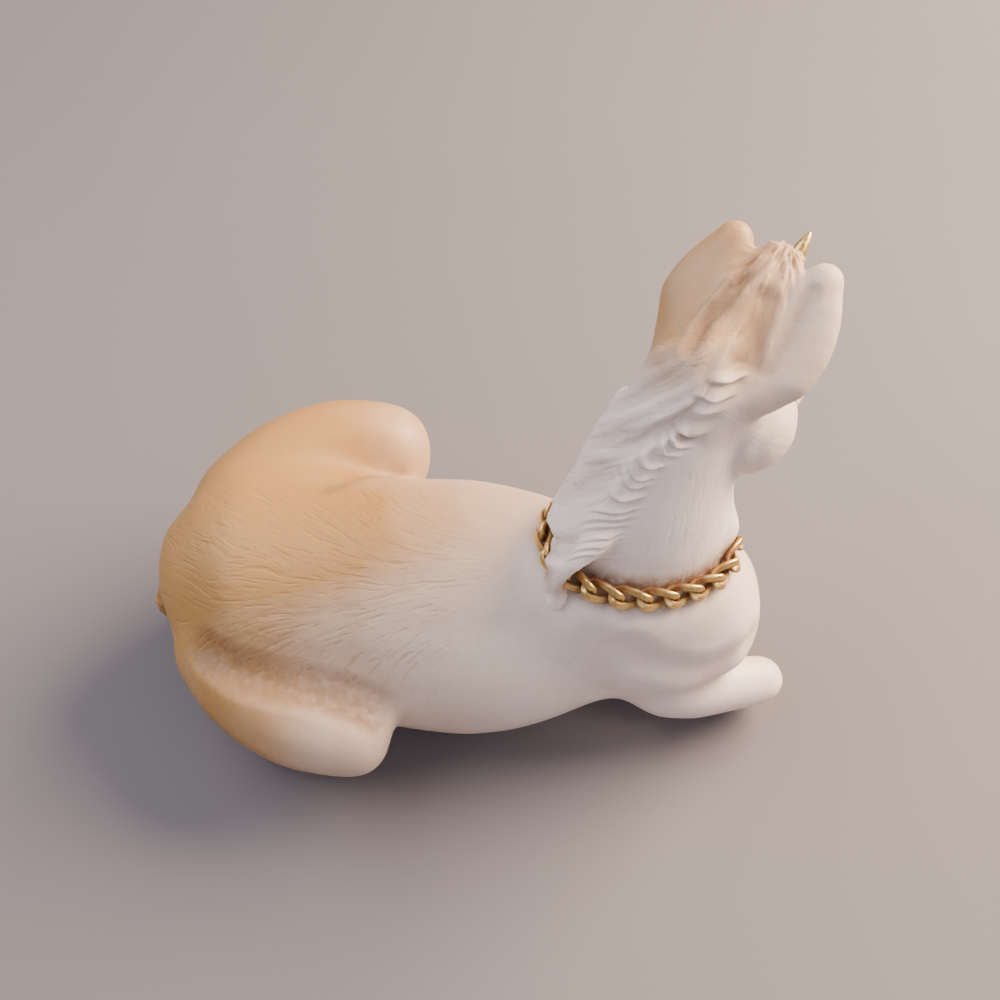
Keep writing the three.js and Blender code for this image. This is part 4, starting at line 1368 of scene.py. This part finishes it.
def make_body():
    """Torso, legs and tail."""
    sizes = bpy.context.scene.figurine_sizes
    points, quads, owner, part = body_skin(sizes.body_grain)
    normals = normals_of(points, quads)
    tail = part["tail"]
    on_tail = tail > TAIL_EDGE
    flow = coat_flow(points)
    flow[on_tail] += tail[on_tail, None] * (tail_flow(points[on_tail]) - flow[on_tail])
    flow = combed_way(flow, points, normals, BODY_WAVE_SEED)
    away, coat = off_axis(points), coat_share(points)
    strokes = ramp(combed(points, flow, *BODY_STROKES), *BODY_STROKE_EDGES)
    relief = -BODY_STROKE_GAIN * sizes.stroke_depth / MM * coat * (1 - tail) * strokes
    relief -= creases(points, BODY_CREASES)
    relief[on_tail] += tail[on_tail] * tail_relief(points[on_tail], flow[on_tail])
    relief += coronet_relief(points, part)
    points = points + normals * relief[:, None]
    points[:, 2] = np.maximum(points[:, 2], 0.0)
    # Painted shade: the near side of the rump is darkened
    shade_and_grime = RUMP_SHADE * ramp(-points[:, 0], *RUMP_SHADE_BACK) * ramp(-away, *RUMP_SHADE_NEAR)
    marks = {
        # hollows and tail grooves darkened: painted shade with some wash
        "hollow": np.maximum(part["hollow"], TAIL_HOLLOW * tail * ramp(-relief, *TAIL_HOLLOW_DEPTHS)),
        "coat": np.maximum(coat, tail),
        "stain_and_shade": np.maximum(shade_and_stains(points), shade_and_grime),
        "warmth": body_warmth(points, away),
        "flow": flow,
    }
    part_skin(points, quads, owner, LOWER_CASTINGS, LOWER_FILLER, marks)


def head_skin(grain):
    """The skin of neck, head, ears and hair: points, quads, the casting of each and the marks."""
    points, faces, edges, owner, part, seam = skin_of(UPPER_CASTINGS, UPPER_FILLER, grain)
    ears = part["ear_left"] + part["ear_right"]
    share = np.maximum(MANE_FILL * part["mane"], SEAM_FILL * seam)
    points = filled(points, faces, edges, FILL_ROUNDS, share)
    points = filled(points, faces, edges, FILL_ROUNDS, seam * ramp(ears, *EAR_EDGE))
    soft = part["mane"] * bell(away_from(points, LOCK_TIP), LOCK_TIP_WIDTH)
    for line, width in SOFT_LINES:
        soft = np.maximum(soft, near_line(points, line, width))
    points = eased(points, edges, STEP_ROUNDS, soft)
    softness = sum(part[name] * amount for name, amount in UPPER_SOFTNESS.items())
    points = eased(points, edges, HEAD_ROUNDS, softness)
    bay = part["mane"] * bell(away_from(points, WITHERS_BAY), BAY_WIDTH)
    points = eased(points + bay[:, None] * BAY_SHIFT, edges, BAY_ROUNDS, bay)
    return refined(points, faces, edges, owner, part, HEAD_HOLLOW_GAIN)


def mane_relief(points, off, gap, fold_depth):
    """Folds and strands of the mane, which fade at its top step, its tip and its far rim."""
    fade = ramp(off, *MANE_EDGE) * (1 - near_line(points, POLL_STEP, STEP_CLEARANCE))
    fade *= 1 - TIP_LOSS * bell(away_from(points, LOCK_TIP), TIP_CLEARANCE)
    fade *= 1 - FAR_RIM_LOSS * bell(gap - FAR_RIM_GAP, FAR_RIM_WIDTH)
    folds = mane_folds(points, *MANE_FOLDS) * (1 - FOLD_LOSS * ramp(gap, *FOLD_LOSS_GAPS))
    return fade * (fold_depth * folds + MANE_STRAND_HEIGHT * mane_folds(points, *MANE_STRANDS))


def make_head():
    """Neck, head, ears, forelock and mane."""
    sizes = bpy.context.scene.figurine_sizes
    points, quads, owner, part = head_skin(sizes.head_grain)
    normals = normals_of(points, quads)
    flow = combed_way(upper_flow(points, part), points, normals, HEAD_WAVE_SEED)
    place, off, gap = parting_frame(points, normals)
    neck, head, mane, forelock = (part[name] for name in ("neck", "head", "mane", "forelock"))
    ears = part["ear_left"] + part["ear_right"]
    relief = mane * mane_relief(points, off, gap, sizes.fold_depth / MM)
    for height, fan, seed in FORELOCK_LOCKS:
        relief += forelock * height * forelock_strands(points, fan, seed)
    relief += sizes.curl_height / MM * curl_relief(place, off, gap) * (1 - ears)
    strokes = ramp(combed(points, flow, *HEAD_STROKES), *HEAD_STROKE_EDGES)
    relief -= HEAD_STROKE_GAIN * sizes.stroke_depth / MM * (1 - np.minimum(1, mane + forelock)) * strokes
    relief += head * face_relief(points) - creases(points, HEAD_CREASES)
    relief += neck * swellings(points, NECK_SWELLINGS) + head * swellings(points, HEAD_SWELLINGS)
    relief = eased(relief, edges_of(quads), 1)
    points = points + normals * relief[:, None]
    hair = mane * ramp(off, *MANE_EDGE) + forelock
    # grooves of the hair are darkened by their depth: painted shade with some wash
    sunk = (MANE_HOLLOW * mane + FORELOCK_HOLLOW * forelock) * ramp(-relief, *HAIR_HOLLOW_DEPTHS)
    warmth = sum(part[name] * warm for name, warm in UPPER_WARMTH.items())
    warmth += POLL_WARMTH * (mane + neck + head) * near_line(points, POLL_STEP, POLL_WARMTH_WIDTH)
    marks = {
        # hollows and hair grooves darkened: painted shade with some wash
        "hollow": np.maximum(HEAD_HOLLOW * part["hollow"], sunk),
        "coat": HEAD_COAT + NECK_COAT * neck + HAIR_COAT * hair,
        "stain_and_shade": shade_and_stains(points),
        "warmth": warmth,
        "flow": flow,
    }
    part_skin(points, quads, owner, UPPER_CASTINGS, UPPER_FILLER, marks)


def make_horn():
    """The horn: a tapering cone with grooves winding round it."""
    grooves = bpy.context.scene.figurine_sizes.horn_grooves
    foot, tip = from_head(HORN_FOOT), from_head(HORN_TIP)
    along = (tip - foot) / np.linalg.norm(tip - foot)
    side = np.cross(along, head_axes()[1])
    over = np.cross(along, side)
    turns = round_turns(HORN_SIDES)
    round_way = np.outer(np.cos(turns), side) + np.outer(np.sin(turns), over)
    points, hollow = [], []
    for i in range(HORN_RINGS):
        share = i / HORN_RINGS
        wave = np.cos(grooves * turns - share * HORN_TURNS * 2 * math.pi)
        beside = np.abs(np.arccos(np.clip(wave, -1, 1)) - math.pi) / GROOVE_HALF_TURN
        groove = np.clip(1 - beside, 0, 1) ** 2
        radius = HORN_RADIUS * (1 - share) ** HORN_BLUNTNESS * (HORN_SWELL - GROOVE_DEPTH * groove)
        points.append(foot + (tip - foot) * share + radius[:, None] * round_way)
        hollow.append(groove)
    points = np.concatenate([*points, [foot], [tip]])
    faces = []
    rims = HORN_RINGS * HORN_SIDES
    last = rims - HORN_SIDES
    for k in range(HORN_SIDES):
        n = (k + 1) % HORN_SIDES
        faces.append((rims, n, k))
        faces.append((rims + 1, last + k, last + n))
        for row in range(0, last, HORN_SIDES):
            faces.append((row + k, row + n, row + HORN_SIDES + n, row + HORN_SIDES + k))
    made = mesh_object("horn_spiral", points, faces)
    with_marks(made, {"hollow": np.concatenate([*hollow, [0, 0]]) * GROOVE_WASH})
    settle(made, "gilt_paint", gilt_material("gold_paint", HORN_WASH, HORN_ROUGHNESS), "horn")


def link_mesh(reach, wire_radius, along, up, out):
    """One twisted link, flattened on its outer side, with marks where it is darkened: painted shade with
    some dark wash on its side towards the neck and on its inner edges.
    """
    turns = round_turns(LINK_TURNS)
    c, s = np.cos(turns), np.sin(turns)
    wide = np.sign(s) * np.abs(s) ** LINK_SQUARENESS * LINK_HALF_WIDTH
    path = np.outer(reach * c, along) + np.outer(wide, up) + np.outer(LINK_TWIST * 2 * s * c, out)
    ahead = unit(np.roll(path, -1, 0) - np.roll(path, 1, 0))
    deep = unit(out - ahead * (ahead @ out)[:, None])
    across = np.cross(deep, ahead)
    angles = round_turns(LINK_SIDES)
    section = np.stack([np.cos(angles), np.sin(angles)], 1) * wire_radius
    section[:, 1] = np.minimum(section[:, 1], LINK_FLAT * wire_radius)
    points = path[:, None] + section[:, :1] * across[:, None] + section[:, 1:] * deep[:, None]
    inner = np.tile(ramp(section[:, 0] / wire_radius, *LINK_INNER_EDGE), (LINK_TURNS, 1))
    # painted shade with some dark wash towards the neck and on the inner edges
    hollow = np.maximum(ramp(-(points @ out), *LINK_WASH_AND_SHADE_DEPTHS), LINK_INNER_WASH_AND_SHADE * inner).ravel()
    faces = []
    for i in range(LINK_TURNS):
        here, there = i * LINK_SIDES, (i + 1) % LINK_TURNS * LINK_SIDES
        for k in range(LINK_SIDES):
            n = (k + 1) % LINK_SIDES
            faces.append((there + k, there + n, here + n, here + k))
    return points.reshape(-1, 3), faces, hollow


def make_chain():
    """The chain's links, each a twisted loop of wire in the place of its CAD link."""
    wire_radius = bpy.context.scene.figurine_sizes.wire / MM / 2
    ring = chain_ring()
    upward = np.linalg.svd(ring - ring.mean(0))[2][2]
    upward *= np.sign(upward[2])
    material = gilt_material("gilt_chain", CHAIN_WASH_AND_SHADE, CHAIN_ROUGHNESS)
    cos, sin = math.cos(LINK_TILT), math.sin(LINK_TILT)
    for i, name in enumerate(LINKS):
        corners = node_mesh(name)[0] - ring[i]
        along = np.linalg.svd(corners - corners.mean(0))[2][0]
        along *= np.sign(along @ (ring[(i + 1) % len(ring)] - ring[i - 1]))
        out = np.cross(along, upward)
        out /= np.linalg.norm(out)
        up = np.cross(out, along)
        half = corners @ along
        reach = (half.max() - half.min()) / 2 - LINK_END
        tilted_up = cos * up - sin * out
        tilted_out = cos * out + sin * up
        points, faces, hollow = link_mesh(reach, wire_radius, along, tilted_up, tilted_out)
        made = mesh_object(f"{name}_wire", points + ring[i], faces)
        with_marks(made, {"hollow": hollow})
        settle(made, "gilt_brass", material, name)


def aimed(name, data, place, target):
    """A lamp or camera at a place, turned to a target."""
    made = bpy.data.objects.new(name, data)
    bpy.context.scene.collection.objects.link(made)
    made.location = place
    made.rotation_euler = (Vector(target) - Vector(place)).to_track_quat("-Z", "Y").to_euler()
    return made


def make_stage():
    """Floor, lights and camera."""
    scene = bpy.context.scene
    half = FLOOR_SIZE / MM / 2
    corners = np.array([[-half, -half, 0], [half, -half, 0], [half, half, 0], [-half, half, 0]])
    floor = mesh_object("stage_floor", corners, [(0, 1, 2, 3)])
    floor.data.materials.append(paper_material())
    floor.location.z = FLOOR_DROP
    world = bpy.data.worlds.new("stage_world")
    world.use_nodes = True
    sky = world.node_tree.nodes["Background"]
    sky.inputs["Color"].default_value = (*SKY_COLOUR, 1.0)
    sky.inputs["Strength"].default_value = SKY_STRENGTH
    scene.world = world
    for name, place, size, power, colour in LAMPS:
        data = bpy.data.lights.new(name, "AREA")
        data.shape = "DISK"
        data.size = size
        data.energy = power
        data.color = colour
        aimed(name, data, place, LAMP_TARGET)
    data = bpy.data.cameras.new("photo_camera")
    data.lens = CAMERA_LENS
    data.sensor_width = CAMERA_SENSOR
    data.clip_start = CAMERA_NEAREST
    scene.camera = aimed("photo_camera", data, CAMERA_PLACE, CAMERA_TARGET)


# Operators, panel and the run


class FIGURINE_OT_body(bpy.types.Operator):
    """Make the skin of torso, legs and tail"""

    bl_idname = "figurine.body"
    bl_label = "Body, Legs and Tail"

    def execute(self, context):
        make_body()
        return {"FINISHED"}


class FIGURINE_OT_head(bpy.types.Operator):
    """Make the skin of neck, head, ears, forelock and mane"""

    bl_idname = "figurine.head"
    bl_label = "Neck, Head and Mane"

    def execute(self, context):
        make_head()
        return {"FINISHED"}


class FIGURINE_OT_horn(bpy.types.Operator):
    """Make the gilt horn"""

    bl_idname = "figurine.horn"
    bl_label = "Horn"

    def execute(self, context):
        make_horn()
        return {"FINISHED"}


class FIGURINE_OT_chain(bpy.types.Operator):
    """Make the links of the chain"""

    bl_idname = "figurine.chain"
    bl_label = "Chain"

    def execute(self, context):
        make_chain()
        return {"FINISHED"}


class FIGURINE_OT_stage(bpy.types.Operator):
    """Make floor, lights and camera"""

    bl_idname = "figurine.stage"
    bl_label = "Stage"

    def execute(self, context):
        make_stage()
        return {"FINISHED"}


class FIGURINE_PT_panel(bpy.types.Panel):
    """Lists the steps that dress the figurine and their settings"""

    bl_idname = "FIGURINE_PT_panel"
    bl_label = "Unicorn Figurine"
    bl_space_type = "VIEW_3D"
    bl_region_type = "UI"
    bl_category = "Figurine"

    def draw(self, context):
        for settings in (context.scene.figurine_sizes, context.scene.figurine_colours):
            box = self.layout.box()
            for name in settings.__annotations__:
                box.prop(settings, name)
        for step in STEPS:
            self.layout.operator(step.bl_idname)


STEPS = (FIGURINE_OT_body, FIGURINE_OT_head, FIGURINE_OT_horn, FIGURINE_OT_chain, FIGURINE_OT_stage)
CLASSES = (FigurineSizes, FigurineColours, *STEPS, FIGURINE_PT_panel)


def register():
    """Adds the settings, the steps and the panel to Blender."""
    for kind in CLASSES:
        bpy.utils.register_class(kind)
    bpy.types.Scene.figurine_sizes = bpy.props.PointerProperty(type=FigurineSizes)
    bpy.types.Scene.figurine_colours = bpy.props.PointerProperty(type=FigurineColours)


def unregister():
    """Takes them out again."""
    del bpy.types.Scene.figurine_colours
    del bpy.types.Scene.figurine_sizes
    for kind in reversed(CLASSES):
        bpy.utils.unregister_class(kind)


def main():
    """Runs the steps in order."""
    register()
    bpy.ops.figurine.body()
    bpy.ops.figurine.head()
    bpy.ops.figurine.horn()
    bpy.ops.figurine.chain()
    bpy.ops.figurine.stage()


if __name__ == "__main__":
    main()
